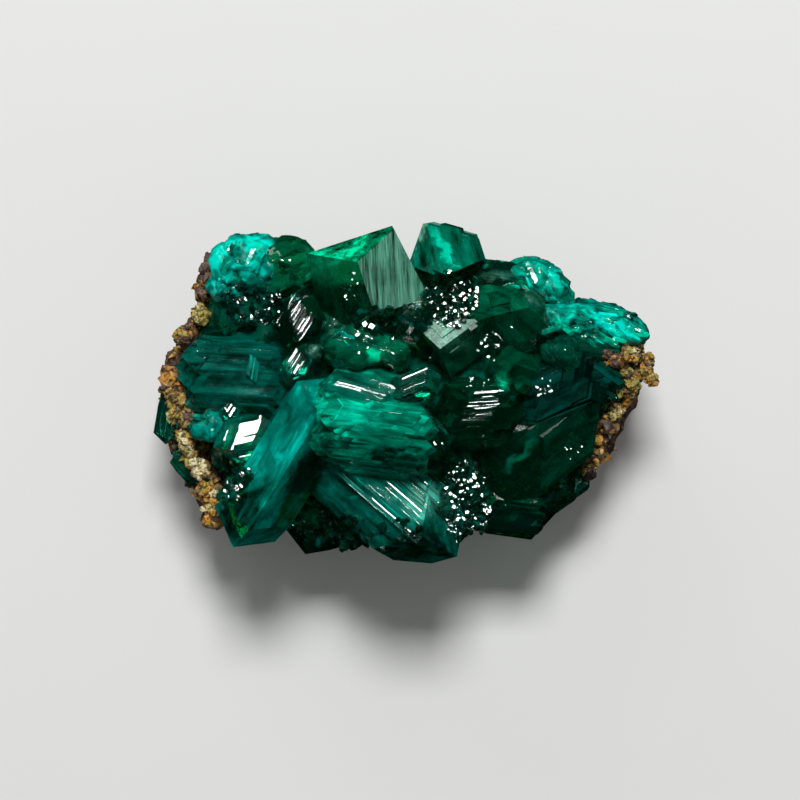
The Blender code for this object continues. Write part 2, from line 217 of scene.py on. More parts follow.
LYING_CRYSTALS = (
    Lying("bench", (-1.9, -2.7, 14.6), -8, (0.03, -0.12), 3.5, 5.6, 5.2),
    Lying("bench_ridge", (0.9, 0.7, 14.6), 22, (0.0, 0.30), 1.0, 1.8, 2.2),
    Lying("bench_step", (-2.2, 0.1, 14.4), -15, (0.0, 0.45), 1.2, 2.6, 3.6),
    Lying("bench_side", (1.5, -2.7, 13.8), -60, (0.35, 0.1), 1.6, 3.0, 3.0),
    Lying("loaf", (-2.9, 2.4, 12.9), -3, (0.0, -0.22), 1.75, 3.8, 3.0),
    Lying("shelf", (5.3, -1.5, 13.0), 3, (0.0, -0.08), 2.1, 3.0, 3.4),
    Lying("shelf_step", (5.6, -0.3, 13.1), 4, (0.0, 0.30), 0.7, 1.7, 1.7),
    Lying("shelf_band", (5.2, -1.2, 13.15), 3, (0.0, 0.30), 0.6, 1.5, 1.7),
    Lying("slab", (-12.8, 1.5, 10.4), -4, (-0.08, 0.12), 2.8, 6.2, 3.3),
    Lying("slab_step", (-10.15, 1.6, 10.78), 82, (-0.05, 0.20), 0.6, 1.3, 1.3),
    Lying("long_prism", (-8.8, -4.4, 12.2), 238, (-0.36, 0.22), 2.4, 6.6, 7.0),
    Lying("mirror_face", (-10.5, -2.7, 11.5), 13, (0.0, 0.30), 1.6, 2.4, 2.4),
    Lying("mirror_chip", (-11.7, -1.1, 10.1), 60, (0.0, 0.30), 0.55, 0.9, 0.9),
    Lying("striped_face", (-7.0, 5.1, 12.1), 59, (0.0, 0.30), 1.35, 2.1, 2.1),
    Lying("striped_chip", (-7.2, 2.1, 12.0), 58, (0.0, 0.30), 0.75, 1.3, 1.3),
    Lying("front_blade", (-0.9, -6.2, 12.4), -41, (0.0, 0.30), 3.1, 6.2, 7.6, True, ((265, 11.4),)),
    Lying("upper_slab", (7.4, 4.5, 11.3), -45, (0.12, -0.10), 2.9, 4.2, 4.2),
    Lying("dark_face", (10.4, -3.7, 9.9), 38, (0.36, -0.45), 4.0, 10.0, 8.5, False,
          ((-7, 13.4), (-65, 11.0), (112, -5.4))),
    Lying("blue_slab", (10.4, 0.2, 10.9), 25, (-0.05, 0.10), 2.4, 3.8, 3.8),
    Lying("blue_chip", (13.3, 1.2, 9.6), -35, (0.20, 0.10), 1.6, 2.6, 2.6),
    Lying("crust_long", (13.4, 4.8, 9.4), -14, (0.05, 0.35), 1.5, 3.8, 3.6),
    Lying("crust_inner", (10.7, 5.3, 9.9), -8, (0.0, 0.30), 1.3, 2.6, 2.6),
    Lying("crust_outer", (15.2, 4.6, 8.6), -38, (0.25, 0.30), 1.2, 2.4, 2.4),
    Lying("crust_low", (13.1, 3.4, 9.9), -10, (0.0, 0.10), 1.0, 2.4, 2.4),
    Lying("clear_left", (7.2, 8.0, 9.4), -8, (0.0, 0.50), 1.6, 3.2, 3.2),
    Lying("clear_middle", (9.4, 7.8, 9.1), -38, (0.20, 0.50), 1.7, 2.8, 2.8),
    Lying("clear_right", (10.7, 6.6, 8.9), -50, (0.30, 0.40), 1.3, 2.2, 2.2),
    Lying("lower_right", (7.1, -8.4, 9.0), -8, (0.05, -0.35), 1.9, 3.6, 3.6),
    Lying("thumb_side", (9.2, -6.8, 8.2), 20, (0.30, -0.50), 1.8, 3.2, 3.2),
    Lying("corner_right", (10.9, -7.2, 6.3), 35, (0.40, -0.70), 1.7, 3.0, 3.0),
    Lying("lower_left", (-3.9, -8.4, 9.6), 75, (-0.40, -0.35), 2.4, 3.4, 3.4),
    Lying("foot_middle", (-1.2, -9.8, 7.3), -10, (0.0, -0.90), 2.0, 4.2, 4.2),
    Lying("foot_right", (2.6, -10.0, 8.0), 50, (0.10, -0.60), 2.0, 2.8, 2.8),
    Lying("foot_left", (-5.5, -10.0, 6.9), 10, (-0.10, -0.70), 1.9, 2.9, 2.9),
    Lying("lump_clear", (-8.0, 8.2, 10.0), 30, (0.05, 0.05), 1.9, 2.8, 2.8),
    Lying("lump_left", (-11.3, 9.2, 9.2), 35, (-0.20, 0.30), 1.5, 2.3, 2.3),
    Lying("lump_top", (-9.6, 9.8, 9.0), 12, (0.0, 0.50), 1.5, 2.6, 2.6),
    Lying("lump_low", (-11.6, 7.7, 9.0), 20, (-0.15, 0.20), 1.3, 2.1, 1.9),
    Lying("lump_right", (-7.4, 9.5, 8.8), -25, (0.10, 0.50), 1.2, 2.0, 2.0),
    Lying("pocket_left", (-10.7, 6.4, 9.3), 70, (-0.10, 0.10), 1.2, 2.0, 2.0),
    Lying("pocket_right", (-9.2, 6.2, 9.3), 40, (0.10, -0.20), 1.3, 2.2, 2.2),
    Lying("pocket_edge", (-12.3, 5.4, 8.8), 80, (-0.10, 0.10), 1.1, 2.0, 2.0),
    Lying("pocket_low", (-13.0, 4.1, 8.6), 10, (-0.3, -0.10), 0.8, 1.6, 1.6),
)

STANDING_CRYSTALS = (
    Standing("top_block", (-3.0, 8.7, 13.8), (-0.06, 0.08, 1.0), (1.0, -0.24, 0.0), 5.0, 8.6,
             ((108, 10.9), (28, 4.65), (186, 5.3), (290, -5.5))),
    Standing("top_point", (2.4, 11.4, 6.9), (-0.24, 0.80, -0.52), (0.30, 0.0, -1.0), 2.2, 8.0,
             ((158, 2.7), (246, -8.4), (294, -6.0))),
    Standing("point_rim", (2.15, 11.75, 6.4), (-0.24, 0.80, -0.52), (0.30, 0.0, -1.0), 2.3, 8.0,
             ((158, 3.1), (246, -8.1), (294, -6.4))),
    Standing("corner_crystal", (2.5, 2.9, 13.2), (-0.30, -0.40, 1.0), (0.0, 1.0, 0.0), 2.3, 6.0,
             ((90, 4.9),)),
    Standing("knob", (-13.2, -2.2, 10.0), (-0.15, 0.10, 1.0), (0.3, 1.0, 0.0), 1.25, 4.5),
    Standing("gully_low", (-11.4, -5.6, 9.0), (-0.30, -0.20, 1.0), (-1.0, 0.3, 0.0), 1.4, 4.5),
    Standing("gully_high", (-12.3, -4.2, 9.1), (-0.20, 0.10, 1.0), (0.0, 1.0, 0.0), 0.95, 3.5),
    Standing("gully_end", (-11.9, -7.3, 8.5), (-0.20, -0.10, 1.0), (0.0, 1.0, 0.0), 0.95, 5.0),
    Standing("druse_top_left", (2.3, 6.3, 10.6), (0.10, 0.20, 1.0), (1.0, 0.2, 0.0), 0.9, 3.5),
    Standing("druse_top_right", (4.3, 7.0, 10.6), (0.20, 0.30, 1.0), (0.2, 1.0, 0.0), 0.9, 3.5),
    Standing("druse_top_low", (3.9, 5.3, 10.9), (0.0, 0.30, 1.0), (-0.5, 1.0, 0.0), 1.0, 3.5),
    Standing("druse_low_top", (3.6, -5.8, 11.4), (0.20, -0.20, 1.0), (0.0, 1.0, 0.0), 1.1, 4.0),
    Standing("druse_low_right", (5.0, -7.0, 10.8), (0.30, -0.20, 1.0), (0.5, 1.0, 0.0), 1.1, 4.0),
    Standing("druse_low_end", (4.1, -9.0, 9.9), (0.20, -0.50, 1.0), (-0.4, 1.0, 0.0), 1.3, 4.0),
    Standing("saddle", (7.6, 1.9, 11.8), (0.10, 0.10, 1.0), (0.7, 0.7, 0.0), 1.9, 5.0),
    Standing("cleft", (0.2, 4.2, 9.8), (0.10, 0.20, 1.0), (-0.8, 0.3, 0.0), 1.3, 5.0),
    Standing("cleft_side", (0.9, 3.2, 12.0), (0.0, -0.35, 1.0), (1.0, 0.0, 0.0), 1.3, 5.0),
    Standing("nodule", (10.7, 2.8, 12.0), (0.10, 0.10, 1.0), (-0.4, 1.0, 0.0), 1.4, 6.0),
    Standing("lobe", (-0.7, 2.4, 12.9), (0.25, 0.05, 1.0), (0.3, 1.0, 0.0), 1.1, 4.0),
    Standing("striped_root", (-7.1, 4.8, 11.5), (0.0, 0.10, 1.0), (0.3, 1.0, 0.0), 1.1, 5.0),
    Standing("bead", (-5.9, 2.8, 12.5), (0.0, 0.10, 1.0), (0.3, 1.0, 0.0), 0.5, 4.0),
    Standing("pocket_floor", (-9.1, 4.1, 9.9), (0.0, 0.20, 1.0), (0.3, 1.0, 0.0), 0.9, 3.5),
    Standing("back_left", (-5.0, 9.2, 7.6), (-0.10, 0.80, 0.60), (0.0, 0.6, -0.8), 1.6, 5.0),
    Standing("back_right", (5.2, 8.9, 7.4), (0.10, 0.80, 0.60), (0.0, 0.6, -0.8), 1.5, 5.0),
)

RIM_UPPER = Lying("rim_crystal_upper", (-16.2, -1.6, 7.5), 80, (-0.30, 0.0), 0.88, 2.0, 2.0)
RIM_LOWER = Lying("rim_crystal_lower", (-14.9, -5.2, 7.3), 130, (-0.35, -0.20), 0.9, 1.6, 1.6)

# How a crystal's surface grew: frost is how sugary and turquoise it is, plates the number of raised growth
# plates, step how high they stand in millimetres, stray how far their axes stray in degrees, and grooves
# how deep its lines are. glow is how much painted light glows from its inside, and hue how blue it is. ribs
# is the number of narrow ridges along its upper face, and roll turns the crystal under them. The three
# numbers after roll add painted light and painted shade to the faces of its point, the three after them are
# how much painted sheen, standing in for a reflection, those faces carry, and lines is where its lines run.
NO_CAPS = (0.0, 0.0, 0.0)
Habit = namedtuple("Habit", "frost plates step stray grooves glow hue ribs roll caps pales lines",
                   defaults=(0.0, 14, 0.06, 0.6, 0.5, 0.20, 0.5, 0, 0.0, NO_CAPS, NO_CAPS, None))

HABITS = {
    "bench": Habit(0.10, 34, 0.09, 2.5, 0.4, 0.52, 0.5, 6),
    "bench_step": Habit(0.15, 12, 0.10, 2.0, 0.6, 0.34, 0.7, 3),
    "bench_ridge": Habit(0.0, 8, 0.08, 2.0, 0.6, 0.18, 0.6, 13, -9.0),
    "bench_side": Habit(0.0, 12, 0.08, 2.0, 1.0, 0.10, 0.5, 4),
    "loaf": Habit(0.20, 10, 0.06, 4.0, 0.6, 0.24, 0.2),
    "shelf": Habit(0.0, 18, 0.08, 1.5, 1.0, 0.10, 0.2, 5),
    "shelf_step": Habit(0.0, 8, 0.06, 1.0, 0.6, 0.15, 0.4, 9, -8.0),
    "shelf_band": Habit(0.0, 4, 0.05, 1.0, 0.6, 0.12, 0.4, 9, -9.0),
    # Painted sheen on one face of its point
    "corner_crystal": Habit(0.0, 6, 0.10, 1.0, 0.5, 0.23, 0.2, 0, 0.0, NO_CAPS, (0.35, 0.0, 0.0)),
    "slab": Habit(0.05, 30, 0.08, 1.5, 0.9, 0.30, 0.9),
    "slab_step": Habit(0.0, 4, 0.05, 1.0, 0.8, 0.42, 0.9, 6, 6.0),
    "long_prism": Habit(0.0, 7, 0.04, 0.5, 0.15, 0.44, 0.9),
    "lump_clear": Habit(0.1, 12, 0.10, 5.0, 0.5, 0.26, 0.1),
    "mirror_face": Habit(0.0, 8, 0.06, 0.8, 0.6, 0.3, 0.8, 7),
    "mirror_chip": Habit(0.0, 2, 0.02, 0.3, 0.4, 0.3, 0.8, 2),
    "striped_face": Habit(0.0, 4, 0.04, 0.4, 0.5, 0.0, 0.5, 13, 9.0),
    "striped_root": Habit(0.0, 6, 0.06, 2.0, 0.5, 0.0, 0.5),
    "striped_chip": Habit(0.0, 3, 0.04, 0.4, 0.5, 0.02, 0.5, 6, 9.0),
    "front_blade": Habit(0.0, 12, 0.05, 0.4, 0.5, 0.34, 0.85, 28, -10.0),
    "dark_face": Habit(0.0, 16, 0.07, 3.0, 0.3, 0.05, 0.4),
    "upper_slab": Habit(0.0, 3, 0.03, 0.5, 0.2, 0.19, 0.2),
    "saddle": Habit(0.0, 8, 0.06, 1.0, 0.3, 0.18, 0.2),
    "blue_slab": Habit(0.0, 16, 0.10, 4.0, 0.5, 0.04, 1.0),
    "blue_chip": Habit(0.1, 12, 0.10, 4.0, 0.5, 0.10, 1.0),
    # Painted light on one face of its point, painted shade on another, and painted sheen on the third
    "top_block": Habit(0.0, 0, 0.04, 0.4, 1.6, 0.20, 0.1, 0, 0.0, (0.0, 0.24, -0.06), (0.62, 0.0, 0.0),
                       (0.0, -1.0, -0.29)),
    "top_point": Habit(0.0, 10, 0.04, 0.4, 0.3, 0.32, 0.5),
    # Painted sheen on all three faces of its point
    "point_rim": Habit(0.0, 0, 0.04, 0.4, 0.5, 0.40, 0.6, 0, 0.0, NO_CAPS, (0.9, 0.9, 0.9)),
    "cleft": Habit(0.0, 8, 0.06, 0.6, 0.5, 0.05, 0.3),
    "cleft_side": Habit(0.0, 8, 0.06, 2.0, 0.5, 0.03, 0.3),
}
PLAIN_HABIT = Habit()
RIM_HABIT = Habit(0.15, 16, 0.06, 2.0, 0.8, 0.15, 0.6, 5)

# Crystals of the druse, and then those of the hidden foot, whose habits differ in glow and hue alone
for name, glow, hue in (("druse_top_left", 0.02, 0.5), ("druse_top_right", 0.02, 0.5),
                        ("druse_top_low", 0.02, 0.5), ("druse_low_top", 0.03, 0.7),
                        ("druse_low_right", 0.05, 0.7), ("druse_low_end", 0.08, 0.7)):
    HABITS[name] = Habit(plates=8, glow=glow, hue=hue)
for name, glow, hue in (("lower_right", 0.06, 0.9), ("thumb_side", 0.08, 0.9), ("corner_right", 0.06, 0.9),
                        ("foot_middle", 0.03, 0.5), ("foot_right", 0.06, 0.5), ("foot_left", 0.04, 0.5)):
    HABITS[name] = Habit(plates=10, stray=1.0, glow=glow, hue=hue)

# Painted light: where light is painted glowing from inside, and where a negative strength paints shade
# instead:
# middle in the layout, half length and half width, heading in degrees, and strength
PAINTED_GLOWS_AND_SHADES = (
    (-1.1, -0.9, 2.6, 0.9, -8, 0.22), (-1.9, 2.6, 0.5, 0.45, 0, 0.6), (6.8, 0.6, 0.45, 0.6, 0, 0.6),
    (2.8, 9.8, 1.7, 0.35, -65, 0.45), (-10.8, -8.0, 2.2, 1.3, 50, -0.35),
    (-3.6, 9.4, 1.5, 0.5, 25, 0.5), (-5.4, 8.7, 1.1, 1.1, 0, 0.5), (-4.4, -8.3, 2.6, 1.0, -41, -0.25),
    (8.9, 7.4, 1.2, 0.6, -30, 0.35), (14.6, 4.6, 2.2, 0.9, -25, 0.25), (-12.6, 9.0, 0.7, 1.8, 0, 0.40),
    (-10.6, 10.2, 1.8, 0.5, -5, 0.40), (1.0, 7.4, 0.45, 1.6, 0, 0.25), (-1.0, -4.4, 4.0, 1.2, -8, -0.30),
    (-6.7, -5.8, 4.0, 0.9, 66, -0.45), (1.0, -10.4, 3.6, 1.4, 5, -0.30), (4.3, 9.5, 0.9, 0.9, 0, 0.10),
    (1.4, 9.2, 0.5, 1.5, 0, -0.30), (7.8, -4.4, 1.7, 0.3, 45, 0.35), (9.3, -2.5, 1.6, 1.0, 30, 0.12),
)

# Where a whitish painted sheen, standing in for a reflection of the lights, lies on the surface, set out as
# above
PAINTED_SHEENS = (
    (6.5, 8.0, 1.0, 0.3, 0, 0.25), (1.1, 10.9, 0.4, 2.0, -25, 0.7), (9.1, 6.5, 0.7, 0.6, 0, 0.15),
    (1.5, -7.2, 1.2, 1.2, 0, 0.3), (-5.95, 2.8, 0.45, 0.5, 0, 0.6), (3.3, 3.6, 1.7, 0.8, -10, 0.15),
)

# Rounded, melted-looking growths: middle, half sizes, and heading of the first half size. cell is the width
# of the small faces on them, slope how steep these lean, and stretch how many times longer than wide they
# are.
# glow is how much painted light glows from inside each growth
Lump = namedtuple("Lump", "at radii heading frost glow hue cell slope stretch", defaults=(0.8, 0.35, 1.0))
LUMPS = (
    Lump((-10.3, 8.5, 8.1), (2.8, 2.15, 2.4), -5, 0.70, 0.46, 0.85, 0.9, 0.25),
    Lump((-11.9, 7.3, 7.8), (1.4, 1.7, 2.0), 70, 0.75, 0.46, 0.9, 0.7, 0.25),
    Lump((-7.9, 8.6, 7.5), (2.1, 1.95, 3.0), -12, 0.10, 0.27, 0.1, 1.1, 0.2),
    Lump((-2.9, 2.9, 11.5), (2.5, 1.6, 1.9), -3, 0.34, 0.30, 0.2, 0.7, 0.25),
    Lump((-0.7, 2.45, 11.4), (1.1, 0.95, 1.6), 0, 0.25, 0.32, 0.2, 0.6, 0.3),
    Lump((-13.2, -2.25, 8.5), (1.3, 1.3, 1.5), 40, 0.65, 0.36, 0.9, 0.6, 0.3),
    Lump((10.7, 2.7, 10.4), (1.4, 1.2, 1.6), -10, 0.30, 0.30, 0.4, 0.6, 0.3),
    Lump((14.2, 4.7, 7.4), (2.8, 1.3, 2.3), -24, 0.80, 0.58, 0.9, 0.40, 0.35, 3.0),
    Lump((11.3, 4.9, 8.2), (2.5, 1.3, 2.3), -12, 0.55, 0.52, 0.8, 0.40, 0.4, 3.0),
    Lump((8.0, 7.9, 7.4), (2.8, 1.25, 2.3), -5, 0.30, 0.58, 0.7, 0.8, 0.40, 1.6),
    Lump((10.1, 7.2, 7.2), (1.9, 1.1, 2.1), -55, 0.35, 0.64, 0.8, 0.7, 0.40, 1.6),
)

# Beds of small crystals seen from above: middle, half sizes, how many, radius from and to, frost, slant in
# degrees, share with a face turned to the main light, and glow. lay is the heading they lie along, and how
# far they stray.
# Their glow is painted light from inside the small crystals
Bed = namedtuple("Bed", "name middle half count radius frost slant aim glow lay", defaults=(0.2, 0.10, None))
BEDS = (
    Bed("druse_upper", (3.4, 6.3), (2.0, 2.1), 600, (0.05, 0.15), 0.0, 55, 0.42, 0.03),
    Bed("druse_lower", (4.3, -7.4), (1.9, 3.2), 680, (0.05, 0.16), 0.0, 55, 0.33, 0.08),
    Bed("druse_corner", (6.0, 2.9), (1.0, 1.3), 60, (0.05, 0.12), 0.0, 45, 0.6, 0.05),
    Bed("druse_right", (9.3, 0.5), (0.8, 0.8), 36, (0.05, 0.10), 0.0, 45, 0.6, 0.05),
    Bed("druse_dark", (11.5, -3.9), (1.2, 0.8), 24, (0.04, 0.08), 0.0, 45, 0.6, 0.0),
    Bed("druse_pocket", (-10.2, 6.0), (2.2, 1.5), 200, (0.07, 0.24), 0.2, 50, 0.25, 0.10),
    Bed("druse_cleft", (-0.8, 4.8), (3.2, 0.9), 240, (0.12, 0.36), 0.0, 60, 0.02, 0.03),
    Bed("scratch_upper", (6.1, 5.2), (0.5, 0.6), 5, (0.05, 0.07), 0.0, 0, 1.0, 0.1, (-47, 5)),
    Bed("scratch_lower", (7.4, 4.4), (0.3, 0.3), 3, (0.05, 0.07), 0.0, 0, 1.0, 0.1, (-40, 5)),
    Bed("druse_block", (-3.5, 7.3), (0.7, 1.3), 22, (0.05, 0.11), 0.0, 45, 0.6, 0.1),
    Bed("druse_gully", (-11.4, -6.1), (1.5, 1.6), 130, (0.08, 0.24), 0.0, 50, 0.15, 0.05),
    Bed("crust_left", (-11.3, 8.6), (2.2, 1.7), 50, (0.08, 0.26), 0.8, 30, 0.05, 0.50, (35, 40)),
    Bed("crust_right", (13.3, 4.5), (3.4, 1.2), 120, (0.08, 0.28), 0.8, 30, 0.06, 0.50, (-18, 14)),
    Bed("crust_clear", (9.0, 7.6), (2.6, 0.9), 26, (0.08, 0.26), 0.4, 30, 0.08, 0.45, (-35, 20)),
    Bed("crust_loaf", (-2.6, 3.6), (2.4, 0.7), 34, (0.06, 0.16), 0.5, 30, 0.02, 0.40, (-5, 30)),
    Bed("crust_knob", (-13.2, -2.2), (1.1, 1.1), 20, (0.08, 0.24), 0.7, 40, 0.1, 0.40, (50, 60)),
    Bed("shelf_edge", (7.2, -1.9), (0.35, 1.1), 20, (0.05, 0.09), 0.0, 0, 1.0, 0.1, (85, 10)),
    Bed("shelf_top", (5.2, 0.6), (1.2, 0.5), 26, (0.04, 0.09), 0.0, 30, 0.6, 0.1),
    Bed("bench_edge", (2.3, -3.0), (0.5, 1.0), 12, (0.04, 0.08), 0.0, 0, 1.0, 0.1, (-60, 8)),
    Bed("foot", (-3.0, -9.4), (4.6, 1.4), 110, (0.08, 0.26), 0.0, 50, 0.1, 0.05),
)

# Crystals that the rounded growths take the place of
OVERGROWN = ("lump_left", "lump_top", "lump_low", "lump_right", "crust_long", "crust_outer", "clear_middle",
             "clear_right", "crust_inner", "knob", "nodule", "lobe", "loaf")


def in_metres(point):
    """A point of the layout, in the frame's metres."""
    return Vector(((point[0] - LAYOUT_CENTRE[0]) * MM, (point[1] - LAYOUT_CENTRE[1]) * MM, point[2] * MM))


def in_layout(point):
    """A point of the frame, in the layout's millimetres."""
    return Vector((point[0] / MM + LAYOUT_CENTRE[0], point[1] / MM + LAYOUT_CENTRE[1], point[2] / MM))


def heading_vector(angle):
    """The level direction at this angle in radians, anticlockwise from +X."""
    return Vector((math.cos(angle), math.sin(angle), 0.0))


def turned(vector, degrees, axis):
    return Matrix.Rotation(math.radians(degrees), 3, axis) @ vector


def any_line(rng):
    return Vector((rng.gauss(0, 1), rng.gauss(0, 1), rng.gauss(0, 1)))


def cut(bm, point, normal):
    """Removes what lies beyond the plane, and closes the cut."""
    everything = bm.verts[:] + bm.edges[:] + bm.faces[:]
    found = bmesh.ops.bisect_plane(bm, geom=everything, plane_co=point, plane_no=normal, clear_outer=True)
    edges = [part for part in found["geom_cut"] if isinstance(part, bmesh.types.BMEdge)]
    if edges:
        bmesh.ops.holes_fill(bm, edges=edges)


# One crystal or growth plate as it stands in the layout: a point on its axis, the axis, and a side square
# to it. trims are as in the tables. limits are more planes that cut it off: a point on each, and its
# normal.
Body = namedtuple("Body", "middle axis side radius ahead behind trims limits", defaults=((), ()))


def body_of_lying(crystal):
    lean = Vector((*crystal.lean, 1.0))
    along = heading_vector(math.radians(crystal.heading))
    along.z = -along.dot(Vector((*crystal.lean, 0.0)))
    axis = along.normalized()
    normal = lean.normalized()
    middle = Vector(crystal.at) - normal * crystal.radius
    side = turned(normal, (-0.5 if crystal.flip else 0.5) * PRISM_TURN, axis)
    return Body(middle, axis, side, crystal.radius, crystal.ahead, crystal.behind, crystal.trims)


def body_of_standing(crystal):
    axis = Vector(crystal.axis).normalized()
    face = Vector(crystal.face)
    side = (face - axis * face.dot(axis)).normalized()
    half = crystal.length / 2
    middle = Vector(crystal.tip) - axis * half
    return Body(middle, axis, side, crystal.radius, half, half, crystal.trims)


def prism_normal(body, k):
    return turned(body.side, (k + 0.5) * PRISM_TURN, body.axis)


def uppermost(body):
    """The prism face that looks up most."""
    return max(range(PRISM_SIDES), key=lambda k: prism_normal(body, k).z)


def cap_side(body, k):
    """The direction square to the axis that this face of a point leans to."""
    return turned(body.side, k * CAP_TURN, body.axis)


def cap_normal(body, k, end=1.0):
    return end * (math.cos(CAP_TILT) * body.axis + math.sin(CAP_TILT) * cap_side(body, k))


def crystal_mesh(body, edge_width=0.0):
    """A doubly terminated crystal, its edges taken off by edge_width."""
    bm = bmesh.new()
    bmesh.ops.create_cube(bm, size=4.0 * (body.radius + body.ahead + body.behind))
    bmesh.ops.translate(bm, vec=body.middle, verts=bm.verts)
    for k in range(PRISM_SIDES):
        normal = prism_normal(body, k)
        cut(bm, body.middle + normal * body.radius, normal)
    for k in range(CAP_SIDES):
        cut(bm, body.middle + body.axis * body.ahead, cap_normal(body, k))
        cut(bm, body.middle - body.axis * body.behind, cap_normal(body, k, -1.0))
    for heading, distance in body.trims:
        normal = heading_vector(math.radians(heading))
        cut(bm, normal * distance, normal)
    for point, normal in body.limits:
        cut(bm, point, normal)
    if edge_width and bm.edges:
        bmesh.ops.bevel(bm, geom=bm.edges[:], offset=edge_width, offset_type="OFFSET", segments=1,
                        profile=0.5, affect="EDGES", material=-1, clamp_overlap=True)
    return bm


def facet_normals(body):
    ends = [cap_normal(body, k, end) for end in (1.0, -1.0) for k in range(CAP_SIDES)]
    return [prism_normal(body, k) for k in range(PRISM_SIDES)] + ends


def facet_shades(rng, habit):
    """How much lighter than the crystal each of its faces looks, in the order of facet_normals: a random tone
    on each face, but on the faces of the upper point the habit's painted light and painted shade.
    """
    sides = [rng.gauss(0, SHADE_SPREAD) for k in range(PRISM_SIDES)]
    return sides + list(habit.caps) + [rng.gauss(0, SHADE_SPREAD) for k in range(CAP_SIDES)]


def mark_growth(rng, bm, body, habit, shift, shades):
    """Writes on the mesh what the material reads: the place in the crystal's own axes, how it grew, and its
    painted glow, hue and painted sheen.
    shift sets its patterns apart from those of its neighbours."""
    along = Vector(habit.lines).normalized() if habit.lines else body.axis
    aside = (body.side - along * body.side.dot(along)).normalized()
    across = along.cross(aside)
    grain = bm.loops.layers.float_vector.new("grain")
    growth = bm.faces.layers.float_vector.new("habit")
    tint = bm.faces.layers.float_vector.new("tint")
    normals = facet_normals(body)
    own = rng.gauss(0, PLATE_SHADE_SPREAD)
    bm.normal_update()
    for face in bm.faces:
        nearest = max(range(len(normals)), key=lambda k: normals[k].dot(face.normal))
        face[growth] = (habit.frost, habit.grooves, 0.0)
        # Painted sheen on the faces of the upper point, and on every face its painted glow with painted light
        # and shade
        sheen = habit.pales[nearest - PRISM_SIDES] if 0 <= nearest - PRISM_SIDES < CAP_SIDES else 0.0
        face[tint] = (habit.glow + own + shades[nearest], habit.hue, sheen)
        for loop in face.loops:
            away = loop.vert.co - body.middle
            loop[grain] = (away.dot(aside) + GRAIN_SHIFTS[0] * shift,
                           away.dot(across) + GRAIN_SHIFTS[1] * shift, away.dot(along))


def strayed(rng, body, degrees):
    """The same axes turned by a few degrees about a random line."""
    line = any_line(rng).normalized()
    turn = Matrix.Rotation(math.radians(rng.gauss(0, degrees)), 3, line)
    return (turn @ body.axis).normalized(), (turn @ body.side).normalized()


def side_plate(rng, body, habit):
    """A long low plate on one side face of the crystal."""
    k = max(rng.sample(range(PRISM_SIDES), 3), key=lambda j: prism_normal(body, j).z)
    normal = prism_normal(body, k)
    along = body.axis.cross(normal)
    radius = body.radius * rng.uniform(*PLATE_RADIUS)
    lift = habit.step * rng.uniform(*PLATE_LIFT)
    room = max(0.0, (body.radius - radius) * PLATE_ROOM)
    reach = (body.ahead + body.behind) * rng.uniform(*PLATE_REACH)
    place = rng.uniform(reach - PLATE_END * body.behind, PLATE_END * body.ahead - reach)
    middle = body.middle + normal * (body.radius - radius + lift) + along * rng.uniform(-room, room)
    axis, side = strayed(rng, body, habit.stray)
    taper = reach * rng.uniform(*PLATE_TAPER)
    return Body(middle + body.axis * place, axis, side, radius, reach, taper, body.trims)


def cap_plate(rng, body, habit):
    """A low plate on one face of the crystal's point."""
    end = 1.0 if rng.random() < UPPER_POINTS else -1.0
    k = max(rng.sample(range(CAP_SIDES), 2), key=lambda j: cap_normal(body, j, end).z)
    leaning = cap_side(body, k)
    out = rng.uniform(*POINT_PLATE_PLACE) * body.radius
    across = body.axis.cross(leaning) * rng.uniform(-0.4, 0.4) * (body.radius - out)
    radius = min(body.radius * rng.uniform(*POINT_PLATE_RADIUS), body.radius - out)
    lift = habit.step * rng.uniform(*PLATE_LIFT)
    length = body.ahead if end > 0 else body.behind
    reach = length + (lift - math.sin(CAP_TILT) * out) / math.cos(CAP_TILT)
    half = reach / 2
    middle = body.middle + end * (leaning * out + across) + end * body.axis * half
    axis, side = strayed(rng, body, habit.stray * 0.5)
    return Body(middle, axis, side, radius, half, half, body.trims)


def point_planes(body, outward):
    """The faces of both points, moved outward: a point on each, and its normal."""
    planes = []
    for k in range(CAP_SIDES):
        for end, length in ((1.0, body.ahead), (-1.0, -body.behind)):
            slope = cap_normal(body, k, end)
            planes.append((body.middle + body.axis * length + slope * outward, slope))
    return tuple(planes)


def rib(rng, body, habit, number):
    """One of the narrow ridges side by side on the crystal's upper face, turned a little about its axis."""
    normal = prism_normal(body, uppermost(body))
    width = RIB_BAND * body.radius
    radius = width / habit.ribs * rng.uniform(*RIB_RADIUS)
    offset = width * ((number + rng.uniform(*SLOT_SHARE)) / habit.ribs - 0.5)
    reach = (body.ahead + body.behind) * rng.uniform(*RIB_REACH)
    place = rng.uniform(reach - body.behind, body.ahead - reach)
    lift = habit.step * rng.uniform(*RIB_LIFT)
    middle = body.middle + normal * (body.radius - radius + lift) + body.axis.cross(normal) * offset
    side = turned(body.side, rng.gauss(0, RIB_TURN), body.axis)
    limits = point_planes(body, RIB_OVERHANG)
    return Body(middle + body.axis * place, body.axis, side, radius, reach, reach, body.trims, limits)


def growth_of(rng, body, habit):
    """The crystal, the plates that stand on its faces and the ridges along it."""
    rolled = body._replace(side=turned(body.side, habit.roll, body.axis))
    plates = [rolled]
    for i in range(habit.plates):
        make = side_plate if rng.random() < SIDE_PLATES else cap_plate
        plates.append(make(rng, rolled, habit))
    for i in range(habit.ribs):
        plates.append(rib(rng, body, habit, i))
    return plates


